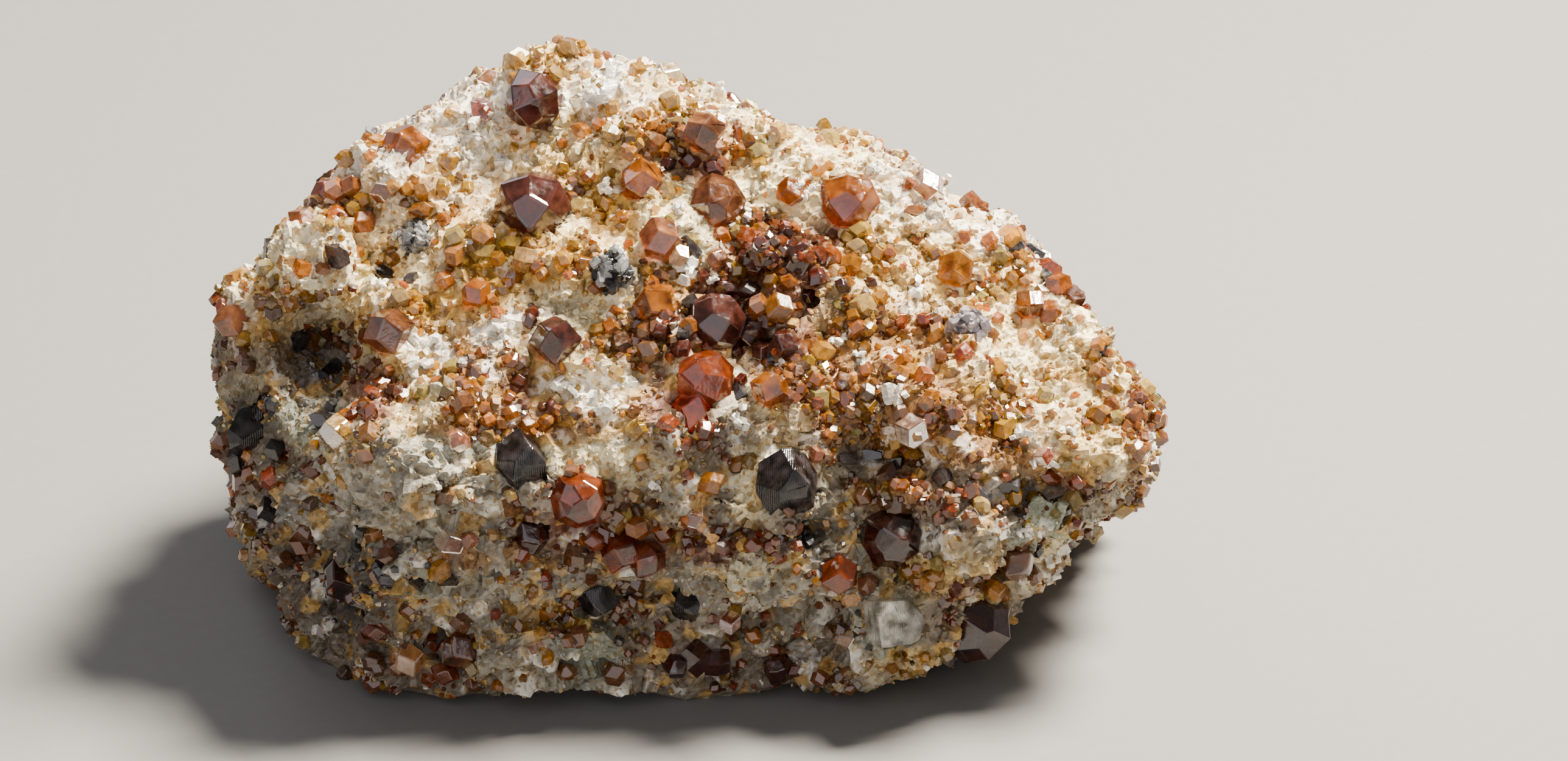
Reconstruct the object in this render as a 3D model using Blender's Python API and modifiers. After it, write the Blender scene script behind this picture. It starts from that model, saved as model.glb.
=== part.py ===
"""Garnet in matrix: garnet, smoky quartz and feldspar crystals on a lump of granular feldspar.

Metres, +Z up, +X to the viewer's right, the show side towards -Y. The lump is trimmed flat below and rests on
that foot. The origin is the bottom centre of the whole specimen's box.

The show side is laid out on a plane that leans back from upright. A place on it is (across, up) in
millimetres: across from the middle, up from the lowest point of the front edge.
"""

import math
import random

import bmesh
import bpy
from mathutils import Matrix, Vector, noise
from mathutils.bvhtree import BVHTree

# Driving dimensions
MM = 0.001
SHOW_LEAN = math.radians(25)
FOOT_FRONT_Y = -22 * MM
GAP = 0.3 * MM
BLOCK_REACH = 60 * MM
FORM_VOXEL = 1.0 * MM
LUMP_VOXEL = 1.15 * MM
LUMP_TRIANGLES = 1900
DRUSE_COUNT = 44
DRUSE_RADIUS = (0.8, 1.4)
DRUSE_STAND_OUT = 0.2
DRUSE_CLEAR = 1.08
DRUSE_LOWEST = 2 * MM
RIM_SHRINK = 0.6
RIM_STEP = 0.4
SHOW_MIDDLE = Vector((0, 25))
GROUP_STEP = 0.3 * MM
CRYSTAL_BLOCK = 8
POINTS_TOGETHER = 0.001 * MM
SEED = 11

# Outline of the show side, clockwise from the peak
OUTLINE = [
    (-10.8, 50.4), (-7.6, 50.0), (-3.0, 49.0), (1.0, 46.9), (5.3, 44.7), (9.4, 44.1), (13.6, 43.1),
    (16.7, 41.6), (18.7, 39.0), (24.1, 36.9), (27.3, 34.5), (30.0, 31.2), (33.6, 25.0), (35.9, 22.8),
    (35.9, 18.0), (34.2, 16.4), (29.8, 12.6), (27.0, 7.9), (23.4, 3.4), (14.6, 2.6), (7.8, 0.8),
    (1.9, -0.4), (-2.6, 1.4), (-9.1, 1.6), (-14.8, 0.5), (-25.4, 1.3), (-27.6, 2.7), (-29.1, 7.1),
    (-31.5, 9.6), (-34.0, 14.0), (-33.9, 20.5), (-33.2, 22.2), (-36.0, 26.8), (-34.6, 30.2),
    (-30.6, 32.3), (-30.2, 35.0), (-26.9, 38.4), (-24.3, 41.0), (-23.2, 43.4), (-19.3, 44.5),
    (-12.9, 47.9),
]

# Broken faces of the lump: a point in millimetres and the way the face looks
FRACTURES = {
    "upper_left_face": ((0, -23.6, 22), (-0.10, -0.62, 0.77)),
    "upper_right_face": ((4, -23.6, 22), (0.16, -0.60, 0.77)),
    "lower_band": ((0, -22.4, 4), (0.0, -1.0, -0.10)),
    "lower_left_facet": ((-21, -22.6, 8), (-0.72, -0.68, -0.08)),
    "lower_right_facet": ((21, -23.0, 12), (0.42, -0.86, -0.26)),
    "left_end": ((-34.5, -6, 20), (-0.93, -0.30, 0.15)),
    "back_top": ((-8, 7, 45.2), (-0.05, 0.55, 0.83)),
    "back_upper": ((0, 17, 36), (0.10, 0.86, 0.50)),
    "back_lower": ((0, 23.0, 14), (-0.05, 0.98, -0.16)),
    "back_left": ((-26, 14, 20), (-0.74, 0.66, 0.12)),
    "back_right": ((24, 14, 18), (0.66, 0.74, 0.10)),
    "foot": ((0, 0, -3), (0, 0, -1)),
}

# Hollows and swellings of the show side: place, reach and push towards the viewer, in millimetres
STROKES = [
    ((-25.4, 26.6), 5.6, -7.5),
    ((-27.0, 22.6), 4.6, -4.5),
    ((-33.0, 26.6), 5.0, 2.4),
    ((-26.4, 33.4), 4.5, 1.6),
    ((-9.5, 49.0), 3.5, 1.6),
    ((-14.5, 40.5), 6.0, -1.8),
    ((-4.0, 42.5), 4.0, 1.4),
    ((6.0, 29.0), 7.5, -3.2),
    ((2.0, 23.0), 4.4, 2.6),
    ((9.5, 34.0), 4.5, 1.6),
    ((-16.0, 25.5), 6.0, 1.6),
    ((-7.0, 23.5), 5.0, -1.6),
    ((14.0, 18.0), 5.0, -3.6),
    ((16.4, 18.4), 2.4, -2.4),
    ((4.0, 18.2), 4.5, -2.4),
    ((26.5, 16.2), 5.5, -3.2),
    ((21.0, 23.0), 7.0, 2.2),
    ((31.0, 21.0), 4.5, 1.4),
    ((-17.0, 16.5), 7.0, 2.2),
    ((-19.0, 8.0), 5.5, -2.6),
    ((9.9, 13.2), 2.6, -2.6),
    ((-2.0, 16.6), 3.6, -2.4),
    ((20.0, 9.0), 4.0, 1.8),
    ((10.0, 5.5), 5.5, -2.2),
    ((-12.0, 9.5), 5.0, 1.6),
    ((17.0, 33.0), 6.0, 1.4),
    ((24.0, 29.5), 4.0, -1.2),
]

# Relief of the broken feldspar: grain size and height in millimetres, and what of it is left at the outline
RELIEF = ((13.0, 2.0), (6.5, 1.7), (3.4, 0.9))
BLOCK_GRAIN = 8.0
BLOCK_RELIEF = 2.0
RIM_RELIEF = 0.4

# Crystals on the show side: kind, place, diameter in millimetres, and seed of its faces
BRIGHT = "bright"
DEEP = "deep"
SMOKY = "smoky"
PALE = "pale"
SINGLE_CRYSTALS = {
    "garnet_peak_dark": (DEEP, (-10.6, 45.6), 4.5, 1),
    "garnet_rim_tall": (BRIGHT, (-20.2, 42.0), 3.6, 2),
    "garnet_upper_large": (DEEP, (-10.5, 37.5), 5.5, 3),
    "garnet_upper_orange": (BRIGHT, (-2.4, 39.3), 3.5, 4),
    "garnet_crest_pink": (BRIGHT, (2.2, 43.0), 3.2, 5),
    "garnet_white_triangle": (DEEP, (3.1, 37.7), 4.3, 6),
    "garnet_brown_red": (BRIGHT, (-1.0, 35.0), 3.4, 7),
    "garnet_big_orange": (BRIGHT, (13.0, 37.9), 4.6, 8),
    "garnet_small_orange": (BRIGHT, (8.7, 38.6), 2.3, 9),
    "garnet_amber_ball": (BRIGHT, (13.2, 33.2), 1.9, 10),
    "garnet_ringed_right": (BRIGHT, (21.0, 32.9), 3.2, 11),
    "garnet_right_slope": (BRIGHT, (26.6, 30.2), 2.5, 12),
    "garnet_centre_facet": (DEEP, (3.1, 28.9), 4.4, 13),
    "garnet_centre_left": (BRIGHT, (-1.3, 30.1), 3.5, 14),
    "garnet_orange_yellow": (BRIGHT, (7.2, 23.9), 2.8, 15),
    "garnet_left_red": (DEEP, (-21.1, 28.2), 3.6, 16),
    "garnet_brown_purple": (DEEP, (-8.7, 27.5), 3.6, 17),
    "garnet_left_orange": (BRIGHT, (-14.6, 31.0), 2.4, 18),
    "garnet_lobe_pink": (BRIGHT, (-33.0, 29.0), 2.8, 19),
    "garnet_blood_red": (BRIGHT, (-6.9, 15.8), 4.0, 20),
    "garnet_lower_dark": (DEEP, (-10.4, 13.0), 2.8, 21),
    "garnet_large_lower": (DEEP, (16.2, 13.0), 4.5, 22),
    "garnet_red_glow": (BRIGHT, (12.3, 10.2), 3.1, 23),
    "garnet_hexagonal_dark": (DEEP, (22.4, 6.2), 5.4, 24),
    "garnet_brown_violet": (DEEP, (25.3, 11.2), 3.2, 25),
    "garnet_bottom_left": (DEEP, (-15.9, 4.6), 3.0, 26),
    "garnet_bottom_right": (DEEP, (7.8, 3.0), 2.4, 27),
    "garnet_left_purple": (DEEP, (-27.4, 13.4), 2.2, 28),
    "quartz_smoky_disc": (SMOKY, (-11.0, 18.4), 4.3, 31),
    "quartz_black_blue": (SMOKY, (8.4, 16.9), 4.6, 32),
    "quartz_sparkling": (SMOKY, (-4.6, 32.6), 3.3, 33),
    "quartz_silver_grey": (SMOKY, (-19.3, 35.2), 2.6, 34),
    "quartz_black_green": (SMOKY, (-5.6, 8.3), 2.6, 35),
    "quartz_blue_grey": (SMOKY, (1.0, 7.8), 2.4, 36),
    "quartz_lilac": (SMOKY, (21.9, 28.6), 2.8, 37),
    "quartz_pale_grey": (PALE, (16.2, 6.6), 4.2, 38),
    "feldspar_left_block": (PALE, (-26.4, 34.2), 6.0, 41),
    "feldspar_peak_block": (PALE, (-5.2, 46.0), 4.4, 42),
    "feldspar_wedge": (PALE, (9.8, 21.8), 2.8, 43),
    "feldspar_lower_slab": (PALE, (5.6, 10.4), 3.6, 44),
    "feldspar_green_slab": (PALE, (27.6, 14.6), 3.4, 45),
}

# Crystals grown into each other: kind of the group, then place, diameter and seed of each
CRYSTAL_GROUPS = {
    "garnet_group_rim": (
        DEEP, [((-26.3, 39.4), 3.2, 51), ((-24.4, 38.9), 2.4, 52), ((-24.8, 40.6), 2.4, 53)],
    ),
    "garnet_group_brown": (
        BRIGHT, [((7.0, 34.0), 3.0, 54), ((9.1, 33.4), 3.0, 55), ((8.4, 35.3), 2.4, 56)],
    ),
    "garnet_group_amber": (
        BRIGHT, [((7.9, 29.3), 3.2, 57), ((7.4, 27.5), 2.4, 58), ((9.7, 30.2), 2.3, 59)],
    ),
    "garnet_bright_red": (BRIGHT, [((2.4, 24.6), 4.3, 60), ((1.5, 22.2), 3.5, 61)]),
    "garnet_pair_red": (BRIGHT, [((-3.9, 11.9), 3.1, 62), ((-1.9, 11.3), 2.9, 63)]),
    "garnet_group_left": (
        DEEP, [((-24.8, 9.6), 3.4, 64), ((-23.0, 8.5), 3.0, 65), ((-23.8, 11.3), 2.6, 66)],
    ),
    "garnet_group_bottom": (
        DEEP, [((1.6, 4.0), 2.8, 67), ((3.2, 3.6), 2.3, 68), ((0.1, 3.4), 2.1, 69)],
    ),
    "quartz_black_left": (SMOKY, [((-31.6, 20.6), 3.6, 70), ((-30.6, 22.2), 2.4, 71)]),
}

# Crystals round the sides and the back: kind, compass angle from +X, height and diameter in millimetres, seed
FAR_CRYSTALS = {
    "garnet_back_large": (DEEP, 96, 24, 4.8, 81),
    "garnet_back_orange": (BRIGHT, 74, 33, 3.6, 82),
    "garnet_back_left": (BRIGHT, 128, 16, 3.8, 83),
    "garnet_back_right": (DEEP, 48, 14, 4.2, 84),
    "garnet_left_end": (BRIGHT, 168, 12, 3.2, 85),
    "garnet_right_end": (BRIGHT, 12, 21, 3.0, 86),
    "quartz_back_smoky": (SMOKY, 112, 34, 4.0, 87),
    "feldspar_back_block": (PALE, 84, 11, 5.0, 88),
}

# How far a crystal's centre stands out from the rock, as a share of its radius
STAND_OUT = {BRIGHT: 0.22, DEEP: 0.22, SMOKY: 0.12, PALE: 0.0}
FINISH = {
    BRIGHT: ((0.55, 0.10, 0.02), 0.12),
    DEEP: ((0.13, 0.02, 0.012), 0.10),
    SMOKY: ((0.03, 0.03, 0.035), 0.10),
    PALE: ((0.72, 0.66, 0.52), 0.45),
}
MATRIX_FINISH = ((0.78, 0.68, 0.50), 0.8)

# Corners of the two garnet forms about a unit inner ball: axis corners, then edge corners, then cube corners
DODECAHEDRON = (2 ** 0.5, 0, 0.5 ** 0.5)
TRAPEZOHEDRON = (6 ** 0.5 / 2, 6 ** 0.5 / 3, 6 ** 0.5 / 4)
BIG_GARNET = 3.9
INNER_SHARE = {DODECAHEDRON: 0.82, TRAPEZOHEDRON: 0.93}

# The way that one face of each big garnet looks, and how far cleaved feldspar turns from the show plane
LIT_WAY = Vector((0.2, -0.6, 0.77)).normalized()
CLEAVAGE_SWING = math.radians(40)

# Face directions of quartz, whose tip faces slope by turns up and down, and of cleaved feldspar
TIP_SLOPE = math.radians(37.7)
PRISM_SIDES = [Vector((math.cos(k * math.pi / 3), math.sin(k * math.pi / 3), 0)) for k in range(6)]
PRISM_TIPS = [
    side * math.cos(TIP_SLOPE) + Vector((0, 0, math.sin(TIP_SLOPE) * (-1) ** k))
    for k, side in enumerate(PRISM_SIDES)
]
CLEAVAGE = [
    Vector(way).normalized()
    for way in (
        (1, 0, 0), (-1, 0, 0), (0, 1, 0.06), (0, -1, -0.06), (0.05, 0, 1), (-0.05, 0, -1),
        (1, 1, 1), (-1, 1, 0.7), (1, -1, 0.8),
    )
]

# Distances of those faces from a crystal's middle, as shares of its radius
SIDE_SHARES = (0.82, 0.95)
TIP_SHARES = (0.72, 0.85)
CLEAVAGE_SHARES = (0.66, 0.96)
CORNER_SHARES = (1.0, 1.2)


def start_scene():
    """Clears the file and makes the collections of the parts and of the shapes that help to make them."""
    for old in list(bpy.data.objects):
        bpy.data.objects.remove(old)
    made = []
    for name in ("garnet_in_matrix", "cutters"):
        collection = bpy.data.collections.new(name)
        bpy.context.scene.collection.children.link(collection)
        made.append(collection)
    return made


def show_frame():
    """The show plane's frame: across, up, and straight out to the viewer."""
    out = Vector((0, -math.cos(SHOW_LEAN), math.sin(SHOW_LEAN)))
    up = Vector((0, math.sin(SHOW_LEAN), math.cos(SHOW_LEAN)))
    frame = Matrix((Vector((1, 0, 0)), up, out)).transposed().to_4x4()
    frame.translation = Vector((0, FOOT_FRONT_Y, 0))
    return frame


def in_show_plane(place, out):
    """The point at (across, up) of the show plane, this far out of it."""
    return show_frame() @ Vector((place[0] * MM, place[1] * MM, out))


def add_object(name, mesh, collection):
    made = bpy.data.objects.new(name, mesh)
    collection.objects.link(made)
    return made


def add_cutter(name, mesh, collection):
    """A shape that only cuts or joins, drawn as wires."""
    made = add_object(name, mesh, collection)
    made.hide_render = True
    made.display_type = "WIRE"
    return made


def mesh_from(bm, name):
    mesh = bpy.data.meshes.new(name)
    bm.to_mesh(mesh)
    bm.free()
    return mesh


def settle(made):
    """Turns an object's modifiers into its mesh."""
    bpy.context.view_layer.update()
    graph = bpy.context.evaluated_depsgraph_get()
    mesh = bpy.data.meshes.new_from_object(made.evaluated_get(graph))
    made.modifiers.clear()
    made.data = mesh


def add_boolean(made, operation, operand):
    modifier = made.modifiers.new(operation.lower(), "BOOLEAN")
    modifier.operation = operation
    modifier.solver = "EXACT"
    if isinstance(operand, bpy.types.Collection):
        modifier.operand_type = "COLLECTION"
        modifier.collection = operand
    else:
        modifier.object = operand


def cut_off(bm, direction, distance):
    """Takes away what lies further out than distance along direction, and closes the cut flat."""
    everything = bm.verts[:] + bm.edges[:] + bm.faces[:]
    cut = bmesh.ops.bisect_plane(
        bm,
        geom=everything,
        dist=POINTS_TOGETHER / 100,
        plane_co=direction * distance,
        plane_no=direction,
        clear_outer=True,
    )
    rim = [piece for piece in cut["geom_cut"] if isinstance(piece, bmesh.types.BMEdge)]
    if rim:
        bmesh.ops.edgeloop_fill(bm, edges=rim)


def outline_block(cutters):
    """The outline of the show side, drawn through the whole depth of the lump."""
    curve = bpy.data.curves.new("show_outline", "CURVE")
    curve.dimensions = "2D"
    curve.fill_mode = "BOTH"
    curve.extrude = BLOCK_REACH
    spline = curve.splines.new("POLY")
    spline.points.add(len(OUTLINE) - 1)
    for point, (across, up) in zip(spline.points, OUTLINE):
        inwards = SHOW_MIDDLE - Vector((across, up))
        across, up = Vector((across, up)) + inwards.normalized() * RIM_SHRINK
        point.co = (across * MM, up * MM, 0, 1)
    spline.use_cyclic_u = True
    guide = bpy.data.objects.new("show_outline", curve)
    cutters.objects.link(guide)
    guide.matrix_world = show_frame()
    bpy.context.view_layer.update()
    graph = bpy.context.evaluated_depsgraph_get()
    bm = bmesh.new()
    bm.from_mesh(bpy.data.meshes.new_from_object(guide.evaluated_get(graph)))
    bmesh.ops.remove_doubles(bm, verts=bm.verts, dist=POINTS_TOGETHER)
    bmesh.ops.recalc_face_normals(bm, faces=bm.faces)
    bm.transform(guide.matrix_world)
    bpy.data.objects.remove(guide)
    return mesh_from(bm, "show_outline")


def fracture_block():
    """A block broken along the lump's main faces."""
    bm = bmesh.new()
    bmesh.ops.create_cube(bm, size=2 * BLOCK_REACH)
    for point, way in FRACTURES.values():
        direction = Vector(way).normalized()
        cut_off(bm, direction, direction.dot(Vector(point) * MM))
    return mesh_from(bm, "fractures")


def show_side_point(tree, place):
    """The surface under a place on the show side, or under the nearest place inwards with rock."""
    view = -show_frame().col[2].to_3d()
    aim = Vector(place)
    hit = None
    while hit is None:
        hit = tree.ray_cast(in_show_plane(aim, BLOCK_REACH), view)[0]
        aim += (SHOW_MIDDLE - aim).normalized() * RIM_STEP
    return hit


def push_out(bm, tree):
    """Moves the surface by the strokes, then by the relief of coarse and fine broken feldspar."""
    out = show_frame().col[2].to_3d()
    strokes = [
        (show_side_point(tree, place), reach * MM, push * MM)
        for place, reach, push in STROKES
    ]
    bm.normal_update()
    moves = []
    for vertex in bm.verts:
        stroke = 0.0
        for centre, reach, height in strokes:
            share = (vertex.co - centre).length / reach
            if share < 1:
                stroke += height * (1 - share * share) ** 2
        rise = sum(height * noise.noise(vertex.co / (grain * MM)) for grain, height in RELIEF)
        near, second = noise.voronoi(vertex.co / (BLOCK_GRAIN * MM))[0][:2]
        rise += BLOCK_RELIEF * (min(1.0, 2 * (second - near)) - near)
        facing = abs(vertex.normal.dot(out))
        share = RIM_RELIEF + (1 - RIM_RELIEF) * facing
        moves.append(out * stroke + vertex.normal * rise * MM * share)
    for vertex, move in zip(bm.verts, moves):
        vertex.co += move


def remesh(made, voxel):
    modifier = made.modifiers.new("voxels", "REMESH")
    modifier.mode = "VOXEL"
    modifier.voxel_size = voxel
    settle(made)


def lump(collection, cutters):
    """The feldspar lump before anything grows on it."""
    made = add_object("matrix", outline_block(cutters), collection)
    fractures = add_cutter("fractures", fracture_block(), cutters)
    add_boolean(made, "INTERSECT", fractures)
    settle(made)
    remesh(made, FORM_VOXEL)
    bm = bmesh.new()
    bm.from_mesh(made.data)
    push_out(bm, BVHTree.FromBMesh(bm))
    bm.to_mesh(made.data)
    bm.free()
    remesh(made, LUMP_VOXEL)
    triangles = sum(len(face.vertices) - 2 for face in made.data.polygons)
    thin = made.modifiers.new("facets", "DECIMATE")
    thin.ratio = LUMP_TRIANGLES / triangles
    settle(made)
    return made


def crystal(kind, diameter, seed, grow=0.0):
    """One crystal about the origin. Grow moves every face out, for the socket that it sits in."""
    draw = random.Random(seed)
    radius = diameter * MM / 2
    if kind in (BRIGHT, DEEP):
        form = TRAPEZOHEDRON if diameter > BIG_GARNET else DODECAHEDRON
        bm = garnet(form, radius * INNER_SHARE[form], grow)
        face = Vector((2, 1, 1)) if form is TRAPEZOHEDRON else draw_direction(draw)
        turn = Matrix.Rotation(draw.uniform(0, math.tau), 4, LIT_WAY)
        turn @= face.rotation_difference(LIT_WAY).to_matrix().to_4x4()
    elif kind == SMOKY:
        shares = [(face, draw.uniform(*SIDE_SHARES)) for face in PRISM_SIDES]
        shares += [(face, draw.uniform(*TIP_SHARES)) for face in PRISM_TIPS]
        bm = cut_crystal(radius, shares, grow)
        turn = Matrix.Rotation(draw.uniform(0, math.tau), 4, draw_direction(draw))
    else:
        shares = [(face, draw.uniform(*CLEAVAGE_SHARES)) for face in CLEAVAGE[:6]]
        shares += [(face, draw.uniform(*CORNER_SHARES)) for face in CLEAVAGE[6:]]
        bm = cut_crystal(radius, shares, grow)
        turn = show_frame().to_3x3().to_4x4()
        turn @= Matrix.Rotation(draw.uniform(-CLEAVAGE_SWING, CLEAVAGE_SWING), 4, draw_direction(draw))
    bm.transform(turn)
    bmesh.ops.recalc_face_normals(bm, faces=bm.faces)
    if bm.calc_volume(signed=True) < 0:
        bmesh.ops.reverse_faces(bm, faces=bm.faces)
    return bm


def garnet(form, inner, grow):
    """A garnet with all faces of its form, at the distance inner from its middle."""
    axis, edge, cube = form
    corners = []
    for a in (axis, -axis):
        corners += [(a, 0, 0), (0, a, 0), (0, 0, a)]
    if edge:
        for a in (edge, -edge):
            for b in (edge, -edge):
                corners += [(a, b, 0), (a, 0, b), (0, a, b)]
    corners += [(a, b, c) for a in (cube, -cube) for b in (cube, -cube) for c in (cube, -cube)]
    bm = bmesh.new()
    for corner in corners:
        bm.verts.new(Vector(corner) * (inner + grow))
    bmesh.ops.convex_hull(bm, input=bm.verts)
    return bm


def cut_crystal(radius, shares, grow):
    """A block cut along flat faces, each at its share of the radius from the middle."""
    bm = bmesh.new()
    bmesh.ops.create_cube(bm, size=CRYSTAL_BLOCK * radius)
    for face, share in shares:
        cut_off(bm, face, share * radius + grow)
    return bm


def draw_direction(draw):
    height = draw.uniform(-1, 1)
    angle = draw.uniform(0, math.tau)
    flat = math.sqrt(1 - height * height)
    return Vector((flat * math.cos(angle), flat * math.sin(angle), height))


def seat_on_show_side(tree, place, kind, diameter):
    """Where a crystal's centre goes: over its place on the show side, partly sunk in the rock."""
    out = show_frame().col[2].to_3d()
    return show_side_point(tree, place) + out * STAND_OUT[kind] * diameter * MM / 2


def seat_group(tree, kind, members):
    """Seats of crystals that grew into each other: all at about the depth of the first."""
    to_plane = show_frame().inverted()
    seats = [seat_on_show_side(tree, place, kind, size) for place, size, _ in members]
    depth = (to_plane @ seats[0]).z
    level = []
    for seat in seats:
        flat = to_plane @ seat
        flat.z = min(max(flat.z, depth - GROUP_STEP), depth + GROUP_STEP)
        level.append(show_frame() @ flat)
    return level


def seat_on_far_side(tree, angle, height, kind, diameter):
    """Where a crystal's centre goes on the sides and the back, seen level from a compass angle."""
    out = Vector((math.cos(math.radians(angle)), math.sin(math.radians(angle)), 0))
    start = out * BLOCK_REACH + Vector((0, 0, height * MM))
    hit = tree.ray_cast(start, -out)[0]
    return hit + out * STAND_OUT[kind] * diameter * MM / 2


def plan_crystals(tree):
    """Every named crystal as its kind and its members, each with its centre, diameter and seed."""
    plan = {}
    for name, (kind, place, diameter, seed) in SINGLE_CRYSTALS.items():
        plan[name] = (kind, [(seat_on_show_side(tree, place, kind, diameter), diameter, seed)])
    for name, (kind, members) in CRYSTAL_GROUPS.items():
        seats = seat_group(tree, kind, members)
        plan[name] = (kind, [(seat, size, seed) for seat, (_, size, seed) in zip(seats, members)])
    for name, (kind, angle, height, diameter, seed) in FAR_CRYSTALS.items():
        plan[name] = (kind, [(seat_on_far_side(tree, angle, height, kind, diameter), diameter, seed)])
    return plan


def crystal_mesh(kind, member, name, grow=0.0):
    """The mesh of one crystal in its place."""
    centre, diameter, seed = member
    one = crystal(kind, diameter, seed, grow)
    one.transform(Matrix.Translation(centre))
    return mesh_from(one, name)


def grow_crystals(plan, collection, cutters):
    """Makes the named crystals, and a socket for each in the cutters."""
    sockets = bpy.data.collections.new("sockets")
    cutters.children.link(sockets)
    for name, (kind, members) in plan.items():
        first, rest = members[0], members[1:]
        made = add_object(name, crystal_mesh(kind, first, name), collection)
        for index, member in enumerate(rest):
            grown = add_cutter(f"{name}_{index}", crystal_mesh(kind, member, name), cutters)
            add_boolean(made, "UNION", grown)
        settle(made)
        made.data.materials.append(material(kind, *FINISH[kind]))
        for index, member in enumerate(members):
            add_cutter(f"socket_{name}_{index}", crystal_mesh(kind, member, name, GAP), sockets)
    return sockets


def grow_druse(bm, plan, cutters):
    """Small garnets that are part of the lump, spread over it clear of the named crystals and of the foot."""
    druse = bpy.data.collections.new("druse")
    cutters.children.link(druse)
    draw = random.Random(SEED)
    taken = [(centre, size * MM / 2) for _, members in plan.values() for centre, size, _ in members]
    faces = [face for face in bm.faces if face.calc_center_median().z > DRUSE_LOWEST]
    areas = [face.calc_area() for face in faces]
    grown = 0
    while grown < DRUSE_COUNT:
        face = draw.choices(faces, areas)[0]
        radius = draw.uniform(*DRUSE_RADIUS) * MM
        centre = face.calc_center_median() + face.normal * radius * DRUSE_STAND_OUT
        if any((centre - other).length < DRUSE_CLEAR * (radius + size) + 2 * GAP for other, size in taken):
            continue
        taken.append((centre, radius))
        made = crystal(BRIGHT, 2 * radius / MM, draw.randrange(10000))
        made.transform(Matrix.Translation(centre))
        add_cutter(f"druse_{grown}", mesh_from(made, "druse"), druse)
        grown += 1
    return druse


def drop_loose_chips(made):
    """Takes away the splinters that a socket cuts clean off the lump."""
    bm = bmesh.new()
    bm.from_mesh(made.data)
    unseen = set(bm.verts)
    bodies = []
    while unseen:
        body = {unseen.pop()}
        front = list(body)
        while front:
            corner = front.pop()
            for edge in corner.link_edges:
                other = edge.other_vert(corner)
                if other not in body:
                    body.add(other)
                    front.append(other)
        unseen -= body
        bodies.append(body)
    bodies.sort(key=len)
    for chip in bodies[:-1]:
        bmesh.ops.delete(bm, geom=list(chip), context="VERTS")
    bm.to_mesh(made.data)
    bm.free()


def foot_cutter(cutters):
    bm = bmesh.new()
    bmesh.ops.create_cube(bm, size=2 * BLOCK_REACH)
    bm.transform(Matrix.Translation((0, 0, -BLOCK_REACH)))
    return add_cutter("foot_cutter", mesh_from(bm, "foot_cutter"), cutters)


def material(name, colour, roughness):
    found = bpy.data.materials.get(name)
    if found:
        return found
    made = bpy.data.materials.new(name)
    made.use_nodes = True
    shader = made.node_tree.nodes["Principled BSDF"]
    shader.inputs["Base Color"].default_value = (*colour, 1)
    shader.inputs["Roughness"].default_value = roughness
    shader.inputs["Metallic"].default_value = 0
    return made


def put_origin_under_middle(collection):
    """Moves the whole specimen so that the origin is the bottom centre of its box."""
    bpy.context.view_layer.update()
    corners = [vertex.co for made in collection.objects for vertex in made.data.vertices]
    low = Vector([min(corner[axis] for corner in corners) for axis in range(3)])
    high = Vector([max(corner[axis] for corner in corners) for axis in range(3)])
    shift = Vector((-(low.x + high.x) / 2, -(low.y + high.y) / 2, -low.z))
    for made in collection.objects:
        made.data.transform(Matrix.Translation(shift))
        made.data.update()


def main():
    collection, cutters = start_scene()
    matrix = lump(collection, cutters)
    bm = bmesh.new()
    bm.from_mesh(matrix.data)
    tree = BVHTree.FromBMesh(bm)
    plan = plan_crystals(tree)
    druse = grow_druse(bm, plan, cutters)
    bm.free()
    sockets = grow_crystals(plan, collection, cutters)
    add_boolean(matrix, "UNION", druse)
    add_boolean(matrix, "DIFFERENCE", foot_cutter(cutters))
    add_boolean(matrix, "DIFFERENCE", sockets)
    settle(matrix)
    drop_loose_chips(matrix)
    matrix.data.materials.clear()
    matrix.data.materials.append(material("feldspar_matrix", *MATRIX_FINISH))
    put_origin_under_middle(collection)


main()
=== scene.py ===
"""Dresses the garnet in matrix: granular feldspar, clear garnets, smoky quartz and the druse between them.

Metres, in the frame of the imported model. A place on the show side is (across, up) in millimetres on a plane
that leans back from upright, as in the part's own source.
"""

import functools
import math
import random

import bmesh
import bpy
import numpy as np
from mathutils import Matrix, Vector, noise
from mathutils.bvhtree import BVHTree


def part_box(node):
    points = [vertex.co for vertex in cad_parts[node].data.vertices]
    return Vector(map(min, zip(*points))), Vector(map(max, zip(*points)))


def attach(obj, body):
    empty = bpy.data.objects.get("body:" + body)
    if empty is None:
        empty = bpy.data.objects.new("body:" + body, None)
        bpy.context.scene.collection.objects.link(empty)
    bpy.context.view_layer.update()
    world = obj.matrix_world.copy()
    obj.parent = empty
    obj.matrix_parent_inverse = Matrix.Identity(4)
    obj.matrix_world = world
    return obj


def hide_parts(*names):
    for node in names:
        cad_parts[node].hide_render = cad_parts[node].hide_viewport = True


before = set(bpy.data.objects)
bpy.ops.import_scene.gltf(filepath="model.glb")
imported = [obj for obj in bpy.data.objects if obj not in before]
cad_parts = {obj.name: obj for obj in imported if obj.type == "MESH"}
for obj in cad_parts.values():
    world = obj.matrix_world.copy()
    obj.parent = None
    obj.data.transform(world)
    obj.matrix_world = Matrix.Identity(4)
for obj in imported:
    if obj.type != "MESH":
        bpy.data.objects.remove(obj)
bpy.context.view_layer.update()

bl_info = {
    "name": "Garnet in matrix",
    "version": (1, 0, 0),
    "blender": (4, 5, 0),
    "location": "View3D > Sidebar > Garnet",
    "description": "Finishes a garnet specimen: granular feldspar, garnets, quartz and druse",
    "category": "Object",
}

MM = 0.001
SEED = 5

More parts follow.
